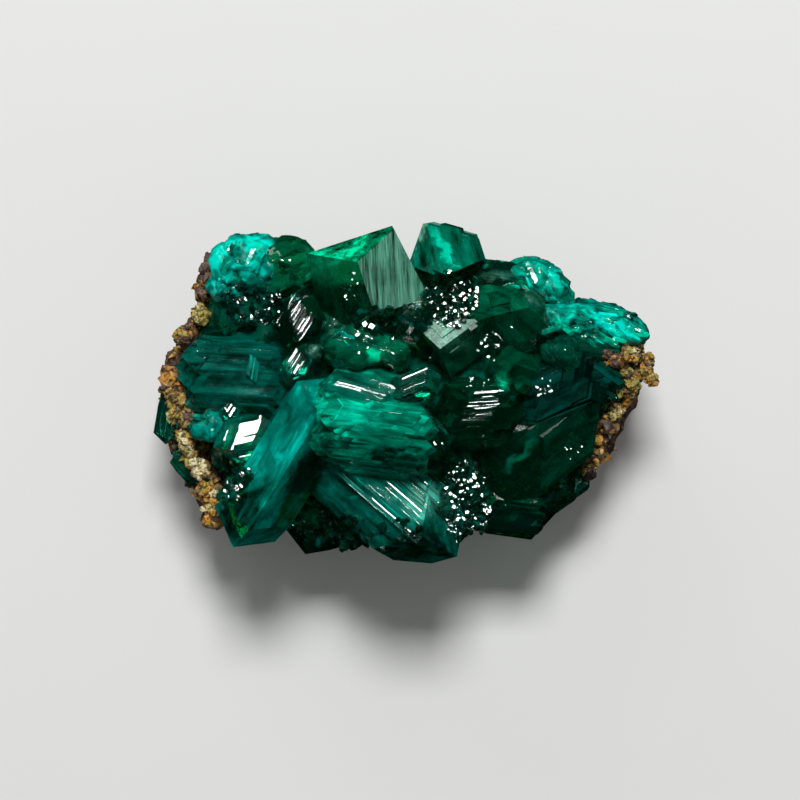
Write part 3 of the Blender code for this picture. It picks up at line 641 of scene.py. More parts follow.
def crystal_members(rng, body, habit, settings, shift, shift_step=0.0):
    """Marked meshes of the crystal, its plates and its ridges, less those that their limits cut away."""
    shades = facet_shades(rng, habit)
    members = []
    for i, part in enumerate(growth_of(rng, body, habit)):
        bm = crystal_mesh(part, settings.edge_width / MM)
        if len(bm.faces) < FEWEST_FACES:
            bm.free()
            continue
        mark_growth(rng, bm, body, habit, shift + shift_step * (i % PLATE_SHIFTS), shades)
        members.append(bm)
    return members


def linked(name, data, collection=None):
    """A new object that holds this data, in the scene's own collection unless another is named."""
    if collection is None:
        collection = bpy.context.scene.collection
    obj = bpy.data.objects.new(name, data)
    collection.objects.link(obj)
    return obj


def mesh_object(name, bm, collection=None):
    mesh = bpy.data.meshes.new(name)
    bm.to_mesh(mesh)
    bm.free()
    return linked(name, mesh, collection)


def joined(name, base, members, cutter=None):
    """The base and all members joined in one mesh, less the cutter. What it was made from is removed."""
    collection = bpy.data.collections.new(name + "_members")
    bpy.context.scene.collection.children.link(collection)
    start = mesh_object(name + "_base", base)
    for i, bm in enumerate(members):
        mesh_object(f"{name}_{i}", bm, collection)
    union = start.modifiers.new("union", "BOOLEAN")
    union.operation = "UNION"
    union.solver = "MANIFOLD"
    union.operand_type = "COLLECTION"
    union.collection = collection
    if cutter is not None:
        seat = start.modifiers.new("seat", "BOOLEAN")
        seat.operation = "DIFFERENCE"
        seat.solver = "MANIFOLD"
        seat.object = cutter
    graph = bpy.context.evaluated_depsgraph_get()
    mesh = bpy.data.meshes.new_from_object(start.evaluated_get(graph))
    for obj in list(collection.objects) + [start]:
        old = obj.data
        bpy.data.objects.remove(obj)
        bpy.data.meshes.remove(old)
    bpy.data.collections.remove(collection)
    mesh.name = name
    return mesh


def finished_piece(name, mesh, material, slot, *replaced):
    """Makes the mesh, in the layout's millimetres, a piece of the part in place of the replaced nodes."""
    mesh.transform(TO_METRES)
    mesh.materials.clear()
    mesh.materials.append(material)
    obj = linked(name, mesh)
    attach(obj, "root")
    if replaced:
        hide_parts(*replaced)


def outline_reach(angle):
    """How far the rock's outline lies from the middle, at this angle."""
    angles = [math.atan2(y, x) for x, y in ROCK_OUTLINE]
    reaches = [math.hypot(x, y) for x, y in ROCK_OUTLINE]
    return float(np.interp(angle, angles, reaches, period=2 * math.pi))


def rock_point(place):
    """Where a point of the unit ball lies on the smooth rock, flat beneath and highest at both ends."""
    flat = math.hypot(place.x, place.y)
    if flat < 1e-6:
        heading, reach = Vector((0.0, 0.0)), 0.0
    else:
        heading = Vector((place.x, place.y)) / flat
        reach = outline_reach(math.atan2(place.y, place.x)) * flat ** 0.7
    x, y = heading * reach
    top = ROCK_MIDDLE + (ROCK_ENDS - ROCK_MIDDLE) * (x / ROCK_HALF_LENGTH) ** 2
    if place.z >= 0:
        return Vector((x, y, ROCK_WAIST + (top - ROCK_WAIST) * place.z ** 0.5))
    return Vector((x, y, ROCK_WAIST * (1.0 - (-place.z) ** 0.5)))


def rock_mesh(detail, grain):
    """The broken plate of rock. grain is how far its fine crumbs stand out, in millimetres."""
    noise.seed_set(ROCK_SEED)
    bm = bmesh.new()
    bmesh.ops.create_icosphere(bm, subdivisions=detail, radius=1.0)
    faces = []
    for heading, rise, distance in FRACTURES:
        turn, climb = math.radians(heading), math.radians(rise)
        normal = Vector((math.cos(turn) * math.cos(climb), math.sin(turn) * math.cos(climb), math.sin(climb)))
        faces.append((normal, distance))
    waist = UP * ROCK_WAIST
    for vert in bm.verts:
        vert.co = rock_point(vert.co)
        for normal, distance in faces:
            beyond = (vert.co - waist).dot(normal) - distance
            vert.co -= normal * max(0.0, beyond)
    bm.normal_update()
    moves = []
    for vert in bm.verts:
        lump = noise.noise(vert.co * BROAD_WAVES) * ROCK_ROUGHNESS
        if grain:
            lump += noise.noise(vert.co * LUMP_WAVES) * grain * LUMP_RELIEF
            nearest = noise.voronoi(vert.co * CELL_WAVES, distance_metric="DISTANCE")[0][0]
            lump += grain * (CELL_MIDDLE - nearest)
            lump += noise.noise(vert.co * CRUMB_WAVES) * grain * CRUMB_RELIEF
        moves.append(vert.normal * lump)
    for vert, move in zip(bm.verts, moves):
        vert.co += move
    cut(bm, UP * ROCK_BASE, DOWN)
    bmesh.ops.translate(bm, vec=DOWN * ROCK_BASE, verts=bm.verts)
    return bm


def lump_of_crust(rng, place, radius, tone, detail=1):
    """A small uneven lump of the crust."""
    bm = bmesh.new()
    bmesh.ops.create_icosphere(bm, subdivisions=detail, radius=radius)
    stretch = Vector((rng.uniform(*CRUST_STRETCH), rng.uniform(*CRUST_STRETCH), rng.uniform(*CRUST_STRETCH)))
    turn = Matrix.Rotation(rng.uniform(0, math.pi), 3, any_line(rng))
    for vert in bm.verts:
        away = vert.co * stretch * rng.uniform(*CRUST_UNEVEN)
        bend = CRUST_BEND * noise.noise((away + place) * CRUST_BEND_WAVES)
        vert.co = turn @ away * (1.0 + bend) + place
    tones = bm.faces.layers.float.new("tone")
    for face in bm.faces:
        face[tones] = tone
    return bm


def knob(rng, place, radius, tone):
    """A round knob of crust, covered with smaller lumps."""
    members = [lump_of_crust(rng, place, radius, max(0.0, tone - 0.15), 3)]
    for i in range(KNOB_LUMPS):
        out = Vector((rng.gauss(0, 1), rng.gauss(0, 1), rng.gauss(0.5, 1))).normalized()
        size = LEAST_KNOB_LUMP + KNOB_LUMP_SPREAD * rng.random() ** 3
        own = min(1.0, max(0.0, tone + rng.gauss(0, 0.25)))
        detail = 2 if size > ROUND_LUMP else 1
        members.append(lump_of_crust(rng, place + out * radius * KNOB_OVERLAP, size, own, detail))
    return members


def bank(rng, place, foot, radius):
    """Lumps of crust from a knob down to its foot in the rock."""
    members = []
    steps = math.ceil((foot - place).length / BANK_STEP)
    for i in range(1, steps + 1):
        stray = Vector((rng.gauss(0, BANK_STRAY), rng.gauss(0, BANK_STRAY), 0.0))
        wide = radius * (1.1 + 0.5 * i / steps)
        middle = place.lerp(foot, i / steps) + stray
        members.append(lump_of_crust(rng, middle, wide, rng.uniform(0.0, 0.3), 2))
    return members


def seam_knobs(rng, rock):
    """Knobs along the rock's rim, each on a bank that rises from the rock."""
    ground = BVHTree.FromBMesh(rock)
    members = []
    for start, end, count, tone in SEAMS:
        for i in range(count):
            place = Vector(start).lerp(Vector(end), (i + rng.uniform(*SLOT_SHARE)) / count)
            radius = rng.uniform(*KNOB_RADIUS)
            members += knob(rng, place, radius, tone)
            members += bank(rng, place, ground.find_nearest(place)[0] - UP * BANK_SINK, radius)
    return members


def crust_grains(rng, rock, count):
    """Crumbs sunk in the rock's flanks and along the rim of its top."""
    ground = BVHTree.FromBMesh(rock)
    grains = []
    for i in range(count):
        angle = rng.uniform(0, 2 * math.pi)
        height = rng.uniform(*GRAIN_HEIGHTS)
        inward = rng.uniform(0.70, 1.0)
        heading = heading_vector(angle)
        if rng.random() < 0.5:
            start, ray = heading * 30 + UP * height, -heading
        else:
            start, ray = heading * outline_reach(angle) * inward + UP * 30, DOWN
        hit, normal, index, distance = ground.ray_cast(start, ray)
        radius = rng.uniform(*GRAIN_RADIUS) + GRAIN_SPREAD * rng.random() ** 4
        if hit is not None and hit.z > GRAIN_HEIGHTS[0]:
            place = hit - normal * radius * GRAIN_SINK
            grains.append(lump_of_crust(rng, place, radius, rng.uniform(0.2, 1.0)))
    return grains


def seat_cutter():
    """The rock drawn in a little, which cuts the crystals' undersides so that they sit in it with no gap."""
    bm = rock_mesh(SEAT_DETAIL, 0.0)
    bm.normal_update()
    moved = [vert.co - vert.normal * SEAT_DEPTH for vert in bm.verts]
    for vert, place in zip(bm.verts, moved):
        vert.co = place
    return mesh_object("seat_cutter", bm)


def root_mesh():
    """The solid heart of the cluster, where the crystals share their roots."""
    bm = bmesh.new()
    bmesh.ops.create_icosphere(bm, subdivisions=4, radius=1.0)
    for vert in bm.verts:
        place = vert.co * Vector(ROOT_RADII)
        vert.co = Vector(ROOT_CENTRE) + place * (1.0 - 0.05 * abs(noise.noise(place * 0.8)))
    heart = Body(Vector(ROOT_CENTRE), UP, Vector((1, 0, 0)), 1.0, 1.0, 1.0)
    mark_growth(random.Random(0), bm, heart, PLAIN_HABIT, 0.0, [0.0] * FACET_COUNT)
    return bm


def bed_axis(rng, bed, normal, turn, tilt):
    """Where a small crystal of the bed points: away from the ground, or along it when the bed has a lay."""
    if bed.lay is None:
        square = normal.cross(Vector((math.cos(turn), math.sin(turn), 0.3))).normalized()
        return (Matrix.Rotation(tilt, 3, square) @ normal).normalized()
    along = heading_vector(math.radians(rng.gauss(*bed.lay)))
    return (along - normal * along.dot(normal) + normal * rng.gauss(0.05, 0.18)).normalized()


def turned_to_light(rng, body, lies):
    """The same small crystal with a face turned to where it mirrors the main light. One that lies only
    rolls and tips, and None stands for one that would tip too far."""
    stray = Vector((rng.gauss(0, MIRRORING_STRAY), rng.gauss(0, MIRRORING_STRAY), 0.0))
    wanted = (MIRRORING + stray).normalized()
    if lies:
        upper = (wanted - body.axis * wanted.dot(body.axis)).normalized()
        body = body._replace(side=turned(upper, -0.5 * PRISM_TURN, body.axis))
    nearest = max(facet_normals(body), key=lambda normal: normal.dot(wanted))
    turn = nearest.rotation_difference(wanted)
    if lies and turn.angle > MOST_TIPPED:
        return None
    return body._replace(axis=turn @ body.axis, side=turn @ body.side)


def bed_bodies(rng, bed, ground):
    """Small crystals that stand on whatever the bed's ellipse covers, seen from above."""
    bodies = []
    for i in range(bed.count):
        x, y = rng.uniform(-1, 1), rng.uniform(-1, 1)
        size, turn, tilt = rng.random(), rng.uniform(0, 2 * math.pi), math.radians(bed.slant) * rng.random()
        spin = rng.uniform(0, 2 * math.pi)
        if x * x + y * y > 1 + 0.5 * (noise.noise(Vector((x * 3, y * 3, bed.count))) - 0.3):
            continue
        start = in_metres((bed.middle[0] + x * bed.half[0], bed.middle[1] + y * bed.half[1], HIGH_ABOVE))
        hit, normal, index, distance = ground.ray_cast(start, DOWN)
        if hit is None:
            continue
        low, high = bed.radius
        radius = low + (high - low) * size ** 2.2
        axis = bed_axis(rng, bed, normal, turn, tilt)
        if bed.lay and abs(axis.z) > STEEPEST_LAY:
            continue
        side = (Matrix.Rotation(spin, 3, axis) @ axis.orthogonal()).normalized()
        rise = RISE_LYING if bed.lay else RISE_STANDING
        length = radius * (1.2 + size + (LONGER_LYING if bed.lay else 0.0))
        body = Body(in_layout(hit) + normal * radius * rise, axis, side, radius, length, length * 0.9)
        if rng.random() < bed.aim:
            body = turned_to_light(rng, body, bed.lay is not None)
        if body is not None:
            bodies.append(body)
    return bodies


def lump_mesh(rng, number, lump):
    """A rounded growth, whose surface is broken into small faces that lean this way and that."""
    bm = bmesh.new()
    detail = 4 if (max(lump.radii) < 2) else 5
    bmesh.ops.create_icosphere(bm, subdivisions=detail, radius=1.0)
    radii = Vector(lump.radii)
    turn = Matrix.Rotation(math.radians(lump.heading), 3, "Z")
    for vert in bm.verts:
        outward = Vector([a / b for a, b in zip(vert.co, radii)]).normalized()
        place = vert.co * radii
        squeezed = Vector((place.x / lump.stretch, place.y, place.z))
        cell = squeezed / lump.cell + Vector((number * 5.3, 0.0, 0.0))
        seed = noise.voronoi(cell)[1][0]
        lean = noise.cell_vector(seed * 3.7) - Vector((0.5, 0.5, 0.5))
        lift = (cell - seed).dot(lean) * 2.0 * lump.slope * lump.cell
        swell = noise.noise(place * LUMP_SWELL_WAVES + Vector((0, number * 3.1, 0)))
        place += outward * (lift + LUMP_SWELL * swell)
        vert.co = turn @ place + Vector(lump.at)
    for face in bm.faces:
        face.smooth = True
    body = Body(Vector(lump.at), turn @ Vector((1.0, 0.0, 0.0)), UP, 1.0, 1.0, 1.0)
    habit = Habit(lump.frost, 0, 0, 0, 0.3, lump.glow, lump.hue)
    mark_growth(rng, bm, body, habit, LUMP_SHIFT + number, [0.0] * FACET_COUNT)
    return bm


def cluster_members(rng, settings):
    members = []
    tables = [(crystal.name, body_of_lying(crystal)) for crystal in LYING_CRYSTALS]
    tables += [(crystal.name, body_of_standing(crystal)) for crystal in STANDING_CRYSTALS]
    for number, (name, body) in enumerate(tables):
        if name not in OVERGROWN:
            habit = HABITS.get(name, PLAIN_HABIT)
            members += crystal_members(rng, body, habit, settings, number, PLATE_SHIFT)
    return members + [lump_mesh(rng, number, lump) for number, lump in enumerate(LUMPS)]


def bed_members(rng, ground):
    members = []
    for number, bed in enumerate(BEDS):
        for body in bed_bodies(rng, bed, ground):
            bm = crystal_mesh(body)
            frost = bed.frost + rng.gauss(0, 0.15) * (bed.frost > 0)
            # Painted glow from inside, set apart a little on each crystal
            glow = bed.glow + rng.gauss(0, 0.12)
            own = Habit(frost, 0, 0, 0, 0.2, glow, rng.uniform(0.4, 1.0))
            mark_growth(rng, bm, body, own, BED_SHIFT + number + rng.random(), facet_shades(rng, own))
            members.append(bm)
    return members


class Amount:
    """One number in a material, which Python's arithmetic works on."""

    def __init__(self, graph, socket):
        self.graph = graph
        self.socket = socket

    def maths(self, operation, *values, clamp=False):
        settings = {"operation": operation, "use_clamp": clamp}
        return self.graph.number("ShaderNodeMath", settings, dict(enumerate(values)))

    def __add__(self, other):
        return self.maths("ADD", self, other)

    def __radd__(self, other):
        return self.maths("ADD", other, self)

    def __sub__(self, other):
        return self.maths("SUBTRACT", self, other)

    def __rsub__(self, other):
        return self.maths("SUBTRACT", other, self)

    def __mul__(self, other):
        return self.maths("MULTIPLY", self, other)

    def __rmul__(self, other):
        return self.maths("MULTIPLY", other, self)

    def __truediv__(self, other):
        return self.maths("DIVIDE", self, other)

    def __pow__(self, other):
        return self.maths("POWER", self, other)

    def clamped(self):
        return self.maths("ADD", self, 0.0, clamp=True)

    def between(self, low, high):
        """0 up to low, 1 from high on, and smooth between."""
        return self.graph.number("ShaderNodeMapRange", {"interpolation_type": "SMOOTHSTEP"},
                                 {"Value": self, "From Min": low, "From Max": high})


class Finish:
    """A material under construction."""

    def __init__(self, name):
        self.material = bpy.data.materials.new(name)
        self.material.use_nodes = True
        self.tree = self.material.node_tree
        self.tree.nodes.clear()

    def add(self, kind, settings=None, inputs=None):
        """A node of this kind: its settings first, and then the values or links of its sockets."""
        node = self.tree.nodes.new(kind)
        for key, value in (settings or {}).items():
            setattr(node, key, value)
        for key, value in (inputs or {}).items():
            socket = node.inputs[key]
            if isinstance(value, Amount):
                value = value.socket
            if isinstance(value, bpy.types.NodeSocket):
                self.tree.links.new(value, socket)
            else:
                socket.default_value = value
        return node

    def number(self, kind, settings=None, inputs=None, output=0):
        return Amount(self, self.add(kind, settings, inputs).outputs[output])

    def blend(self, factor, first, second, how="MIX"):
        """A colour between two others."""
        settings = {"data_type": "RGBA", "blend_type": how}
        return self.add("ShaderNodeMix", settings, {0: factor, 6: first, 7: second}).outputs[2]

    def scaled(self, vector, by):
        return self.add("ShaderNodeVectorMath", {"operation": "MULTIPLY"}, {0: vector, 1: by}).outputs[0]

    def shifted(self, vector, by, scale=None):
        """The sum of two vectors, the first one multiplied by scale."""
        if scale is not None:
            vector = self.scaled(vector, scale)
        return self.add("ShaderNodeVectorMath", {"operation": "ADD"}, {0: vector, 1: by}).outputs[0]

    def noise(self, vector, scale, detail=2.0, roughness=0.5, distortion=0.0):
        return self.number("ShaderNodeTexNoise", None, {"Vector": vector, "Scale": scale, "Detail": detail,
                                                        "Roughness": roughness, "Distortion": distortion})

    def place(self):
        """The place on the part, in millimetres."""
        coordinates = self.add("ShaderNodeTexCoord").outputs["Object"]
        return self.scaled(coordinates, (1000.0, 1000.0, 1000.0))

    def written(self, name):
        """A vector that the mesh carries under this name."""
        return self.add("ShaderNodeAttribute", {"attribute_name": name}).outputs["Vector"]

    def parts(self, vector):
        split = self.add("ShaderNodeSeparateXYZ", None, {0: vector})
        return [Amount(self, socket) for socket in split.outputs]

    def bump(self, height, depth, strength=1.0, under=None):
        inputs = {"Height": height, "Distance": depth, "Strength": strength}
        if under is not None:
            inputs["Normal"] = under
        return self.add("ShaderNodeBump", None, inputs).outputs[0]

    def end(self, surface, volume=None):
        output = self.add("ShaderNodeOutputMaterial", None, {"Surface": surface})
        if volume is not None:
            self.tree.links.new(volume, output.inputs["Volume"])
        return self.material


GREEN_CAST = (1.0, 1.0, 0.55, 1.0)
BLUE_CAST = (1.0, 1.0, 1.12, 1.0)
SUGAR_ROUGHNESS = 0.08
SUGAR_CLEARNESS = 0.15
SUGAR_SHINE = 0.15
ROCK_REFRACTION = 1.5
FLOOR_ROUGHNESS = 0.9


def spots(make, place, table):
    """The strength of soft uneven ovals at their places."""
    uneven = make.add("ShaderNodeTexNoise", None, {"Vector": place, "Scale": 1.3, "Detail": 3.0})
    centred = make.shifted(uneven.outputs["Color"], (-0.5, -0.5, -0.5))
    pushed = make.shifted(centred, place, (1.6, 1.6, 0.0))
    total = 0.0
    for x, y, length, width, heading, strength in table:
        oval = make.add("ShaderNodeMapping", {"vector_type": "TEXTURE"}, {
            "Vector": pushed, "Location": (x - LAYOUT_CENTRE[0], y - LAYOUT_CENTRE[1], 0.0),
            "Rotation": (0.0, 0.0, math.radians(heading)), "Scale": (length * 1.5, width * 1.5, 1000.0)})
        away = make.number("ShaderNodeVectorMath", {"operation": "LENGTH"}, {0: oval.outputs[0]}, "Value")
        total = total + away.between(1.0, 0.15) * strength
    return total


def dioptase_finish(name, settings):
    """Clear deep green with lines along each crystal, sugary turquoise where the growth is rough, lit from
    inside by painted glow, with painted shade and painted sheen.
    """
    make = Finish(name)
    place = make.place()
    grain = make.written("grain")
    frost, grooves = make.parts(make.written("habit"))[:2]
    glow, hue, sheen = make.parts(make.written("tint"))
    fine = make.noise(make.scaled(grain, (8.0, 8.0, 0.30)), 1.0, 2.0)
    wide = make.noise(make.scaled(grain, (2.0, 2.0, 0.12)), 1.0, 1.0)
    veil = make.noise(make.scaled(grain, (0.9, 0.9, 0.35)), 1.0, 4.0, 0.6, 0.6)
    sugar = make.noise(place, 2.4, 2.0, 0.5)
    lump = make.noise(place, 0.9, 3.0, 0.5, 0.8)
    patch = make.noise(place, 0.55, 3.0, 0.5)
    patches = (patch - 0.5) * 1.2 * frost.between(0.02, 0.3)
    mask = (frost * 1.25 + patches + (sugar - 0.5) * 0.5 * frost).between(0.42, 0.72)
    # Painted glow from inside, uneven with the veils and lines
    inside = ((veil - 0.5) * 3.0 + ((wide - 0.5) * 1.4 + (fine - 0.5) * 1.2) * grooves) * (glow + 0.05)
    # Painted glow in patches on the frosted growth
    crust = (lump - 0.5) * 1.9 + (sugar - 0.5) * 0.5
    height = make.parts(place)[2]
    # light is painted light: the glow from inside and on the frosted growth, with spots of painted glow and
    # painted shade
    light = glow + inside * (1.0 - mask) + crust * mask + spots(make, place, PAINTED_GLOWS_AND_SHADES)
    # Painted shade: the frosted growth is darker low on the specimen, below 9.5 mm
    light = light - (1.0 - height.between(6.0, 9.5)) * mask * 0.35
    # The crystal's colour follows the painted light, from deep green through the veils to the glow
    body = make.blend(light.between(0.0, 0.55), (*settings.deep_colour, 1.0), (*settings.veil_glow_colour, 1.0))
    body = make.blend(light.between(0.45, 1.05), body, (*settings.glow_colour, 1.0))
    body = make.blend(1.0, body, make.blend(hue.clamped(), GREEN_CAST, BLUE_CAST), "MULTIPLY")
    # Painted sheen: a whitish streaky reflection painted on some faces of points and at listed spots
    painted_sheen = (sheen + spots(make, place, PAINTED_SHEENS)) * (fine * 2.2 + wide * 1.6 + patch - 1.5)
    body = make.blend(painted_sheen.clamped(), body, (*settings.sheen_colour, 1.0))
    lined = make.bump((fine * 0.4 + wide * 0.6) * grooves, settings.groove_depth)
    polish = fine * 0.10 + 0.02
    glass = make.add("ShaderNodeBsdfPrincipled", None, {
        "Base Color": (0.9, 1.0, 0.97, 1.0), "Roughness": polish, "IOR": settings.refraction,
        "Transmission Weight": 1.0, "Normal": lined})
    veiled = make.add("ShaderNodeBsdfPrincipled", None, {
        "Base Color": body, "Roughness": polish, "IOR": settings.refraction, "Normal": lined})
    rough = make.bump(lump * 1.2 + sugar * 0.5, settings.frost_depth, 1.0, lined)
    frosted = make.add("ShaderNodeBsdfPrincipled", None, {
        "Base Color": body, "Roughness": SUGAR_ROUGHNESS, "IOR": settings.refraction,
        "Transmission Weight": SUGAR_CLEARNESS, "Specular IOR Level": SUGAR_SHINE, "Normal": rough})
    milky = (light * 0.5 + painted_sheen * 0.5 + (1.0 - settings.clearness)).clamped()
    clear = make.add("ShaderNodeMixShader", None, {0: milky, 1: glass.outputs[0], 2: veiled.outputs[0]})
    surface = make.add("ShaderNodeMixShader", None, {0: mask, 1: clear.outputs[0], 2: frosted.outputs[0]})
    volume = make.add("ShaderNodeVolumeAbsorption", None, {
        "Color": (*settings.passed_colour, 1.0), "Density": settings.absorption})
    return make.end(surface.outputs[0], volume.outputs[0])


def rock_finish(name, settings):
    """Earthy brown rock with a crust of golden, olive and cream grains, and painted shade deep between them.
    """
    make = Finish(name)
    place = make.place()
    tone = make.number("ShaderNodeAttribute", {"attribute_name": "tone"}, None, "Fac")
    broad = make.noise(place, 0.22, 3.0, 0.5)
    middle = make.noise(place, 1.1, 4.0, 0.6)
    crumbs = make.noise(place, 4.5, 4.0, 0.7)
    cells = make.number("ShaderNodeTexVoronoi", {"feature": "F1"}, {"Vector": place, "Scale": 2.6})
    stain = (middle * 0.6 + broad * 0.4).between(0.50, 0.62)
    base = make.blend(stain, (*settings.rock_colour, 1.0), (*settings.ochre_colour, 1.0))
    greener = (broad * 0.5 + middle * 0.5).between(0.42, 0.54)
    gold = make.blend(greener, (*settings.ochre_colour, 1.0), (*settings.olive_colour, 1.0))
    base = make.blend(tone.between(0.05, 0.35), base, gold)
    base = make.blend((tone + (crumbs - 0.5) * 0.7).between(0.60, 1.0), base, (*settings.crust_colour, 1.0))
    # Painted shade: darker deep between the grains and where the crumbs sink
    dark = (1.0 - cells + tone * 0.4).between(0.1, 0.6) * crumbs.between(0.36, 0.54)
    colour = make.blend(dark, (*settings.crevice_shade_colour, 1.0), base)
    rough = make.bump(crumbs * 0.6 + cells * 0.4, settings.crumb_depth)
    shader = make.add("ShaderNodeBsdfPrincipled", None, {
        "Base Color": colour, "Roughness": (crumbs * 0.5 + 0.35).clamped(), "IOR": ROCK_REFRACTION,
        "Normal": rough})
    return make.end(shader.outputs[0])


def floor_finish(name, settings):
    """Matt pale grey board with the faintest mottle."""
    make = Finish(name)
    mottle = make.noise(make.place(), 0.05, 3.0, 0.6)
    darker = [share * 0.97 for share in settings.floor_colour]
    colour = make.blend(mottle, (*settings.floor_colour, 1.0), (*darker, 1.0))
    shader = make.add("ShaderNodeBsdfPrincipled", None, {"Base Color": colour, "Roughness": FLOOR_ROUGHNESS})
    return make.end(shader.outputs[0])


def colour_property(name, description, default):
    return FloatVectorProperty(name=name, description=description, subtype="COLOR", min=0.0, max=1.0,
                               default=default)


def amount_property(name, description, default, least=0.0, **more):
    return FloatProperty(name=name, description=description, default=default, min=least, **more)


def length_property(name, description, default, least=0.0):
    return amount_property(name, description, default, least, unit="LENGTH")


class CrystalSettings(bpy.types.PropertyGroup):
    # The crystal's colour runs from deep green through its veils to the painted glow from inside, and then
    # the painted sheen
    deep_colour: colour_property("Deep green", "Colour of the darkest crystal", (0.0, 0.016, 0.010))
    veil_glow_colour: colour_property("Veils", "Colour of the cloudy veils in the crystals", (0.0, 0.20, 0.14))
    glow_colour: colour_property("Glow", "Colour where light glows from inside", (0.0, 0.66, 0.50))
    sheen_colour: colour_property("Pale", "Colour of the palest faces", (0.16, 0.46, 0.34))
    passed_colour: colour_property("Passed light", "Colour that the crystal lets through", (0.0, 0.915, 0.81))
    absorption: amount_property("Absorption", "How fast light fades in the crystal, per metre", 1900.0)
    refraction: amount_property("Refractive index", "Refractive index of dioptase", 1.67, 1.0)
    clearness: amount_property("Clearness", "Share of light that enters the crystal", 0.65, max=1.0,
                               subtype="FACTOR")
    edge_width: length_property("Edge width", "Width of the worn edges", 0.035 * MM)
    groove_depth: length_property("Groove depth", "Depth of the lines along the crystals", 0.05 * MM)
    frost_depth: length_property("Sugar depth", "Relief of the rough turquoise growth", 0.16 * MM)
    seed: IntProperty(name="Growth", description="Which arrangement of growth plates is made", default=11)


class RockSettings(bpy.types.PropertyGroup):
    rock_colour: colour_property("Rock", "Colour of the bare rock", (0.105, 0.065, 0.050))
    ochre_colour: colour_property("Ochre", "Colour of the golden grains", (0.58, 0.25, 0.02))
    olive_colour: colour_property("Olive", "Colour of the olive grains", (0.30, 0.26, 0.05))
    crust_colour: colour_property("Cream", "Colour of the palest grains", (0.60, 0.53, 0.31))
    # Painted shade deep between the grains
    crevice_shade_colour: colour_property("Crevices", "Colour deep between the grains", (0.020, 0.011, 0.007))
    grain_count: IntProperty(name="Grains", description="How many crumbs the crust has", default=3000, min=0)
    crumb_depth: length_property("Crumb depth", "Relief of the finest crumbs", 0.10 * MM)
    grain: length_property("Grain", "How far the rock's lumps and crumbs stand out", 0.30 * MM)


class StageSettings(bpy.types.PropertyGroup):
    floor_colour: colour_property("Floor", "Colour of the floor", (0.585, 0.59, 0.58))
    floor_size: length_property("Floor size", "Side of the floor", 3.0, 0.1)
    key_distance: length_property("Key distance", "How far the main softbox is", 0.6, 0.1)
    key_radiance: amount_property("Key brightness", "Radiance of the main softbox", 45.0)
    fill_radiance: amount_property("Fill brightness", "Radiance of the low softbox", 2.6)
    sky: amount_property("Surroundings", "Brightness of the room", 0.25)


class SPECIMEN_OT_rock(bpy.types.Operator):
    """Makes the plate of rock with its ochre crust"""
    bl_idname = "specimen.rock"
    bl_label = "Rock"

    def execute(self, context):
        settings = context.scene.specimen_rock
        bm = rock_mesh(ROCK_DETAIL, settings.grain / MM)
        bm.faces.layers.float.new("tone")
        rng = random.Random(ROCK_SEED)
        grains = crust_grains(rng, bm, settings.grain_count) + seam_knobs(rng, bm)
        for face in bm.faces:
            face.smooth = True
        mesh = joined("rock", bm, grains)
        finish = rock_finish("limonite_rock_detail", settings)
        finished_piece("rock_plate", mesh, finish, "limonite_rock", "matrix")
        return {"FINISHED"}


class SPECIMEN_OT_cluster(bpy.types.Operator):
    """Makes the intergrown crystals, their growth plates and the druse between them in one mesh"""
    bl_idname = "specimen.cluster"
    bl_label = "Crystal cluster"

    def execute(self, context):
        settings = context.scene.specimen_crystals
        rng = random.Random(settings.seed)
        noise.seed_set(settings.seed)
        grown = joined("grown", root_mesh(), cluster_members(rng, settings))
        start = bmesh.new()
        start.from_mesh(grown)
        grown.transform(TO_METRES)
        bm = bmesh.new()
        bm.from_mesh(grown)
        ground = BVHTree.FromBMesh(bm)
        bm.free()
        cutter = seat_cutter()
        mesh = joined("druse", start, bed_members(rng, ground), cutter)
        bpy.data.objects.remove(cutter)
        finish = dioptase_finish("dioptase_detail", settings)
        finished_piece("crystals", mesh, finish, "dioptase", "crystal_cluster")
        return {"FINISHED"}


class SPECIMEN_OT_rim_crystals(bpy.types.Operator):
    """Makes the two crystals that stand alone on the rim of the rock"""
    bl_idname = "specimen.rim_crystals"
    bl_label = "Rim crystals"

    def execute(self, context):
        settings = context.scene.specimen_crystals
        rng = random.Random(settings.seed + 1)
        finish = dioptase_finish("dioptase_rim", settings)
        for number, crystal in enumerate((RIM_UPPER, RIM_LOWER)):
            parts = crystal_members(rng, body_of_lying(crystal), RIM_HABIT, settings, RIM_SHIFT + number)
            mesh = joined(crystal.name, parts[0], parts[1:])
            finished_piece(crystal.name + "_grown", mesh, finish, "dioptase", crystal.name)
        return {"FINISHED"}


class SPECIMEN_OT_stage(bpy.types.Operator):
    """Sets the pale floor, the softboxes and the camera"""
    bl_idname = "specimen.stage"
    bl_label = "Stage"

    def execute(self, context):
        settings = context.scene.specimen_stage
        make_floor(settings)
        make_world(settings)
        make_softbox("key", KEY_DIRECTION, settings.key_distance, KEY_SIZE, settings.key_radiance)
        make_softbox("fill", FILL_DIRECTION, FILL_DISTANCE, FILL_SIZE, settings.fill_radiance)
        make_camera()
        return {"FINISHED"}


def make_floor(settings):
    bm = bmesh.new()
    bmesh.ops.create_grid(bm, x_segments=1, y_segments=1, size=settings.floor_size / 2)
    floor = mesh_object("floor", bm)
    floor.data.materials.append(floor_finish("floor_board", settings))
    floor.visible_glossy = False


def make_world(settings):
    world = bpy.data.worlds.new("room")
    world.use_nodes = True
    background = world.node_tree.nodes["Background"]
    background.inputs["Color"].default_value = (1.0, 1.0, 1.0, 1.0)
    background.inputs["Strength"].default_value = settings.sky
    world.cycles_visibility.glossy = False
    bpy.context.scene.world = world


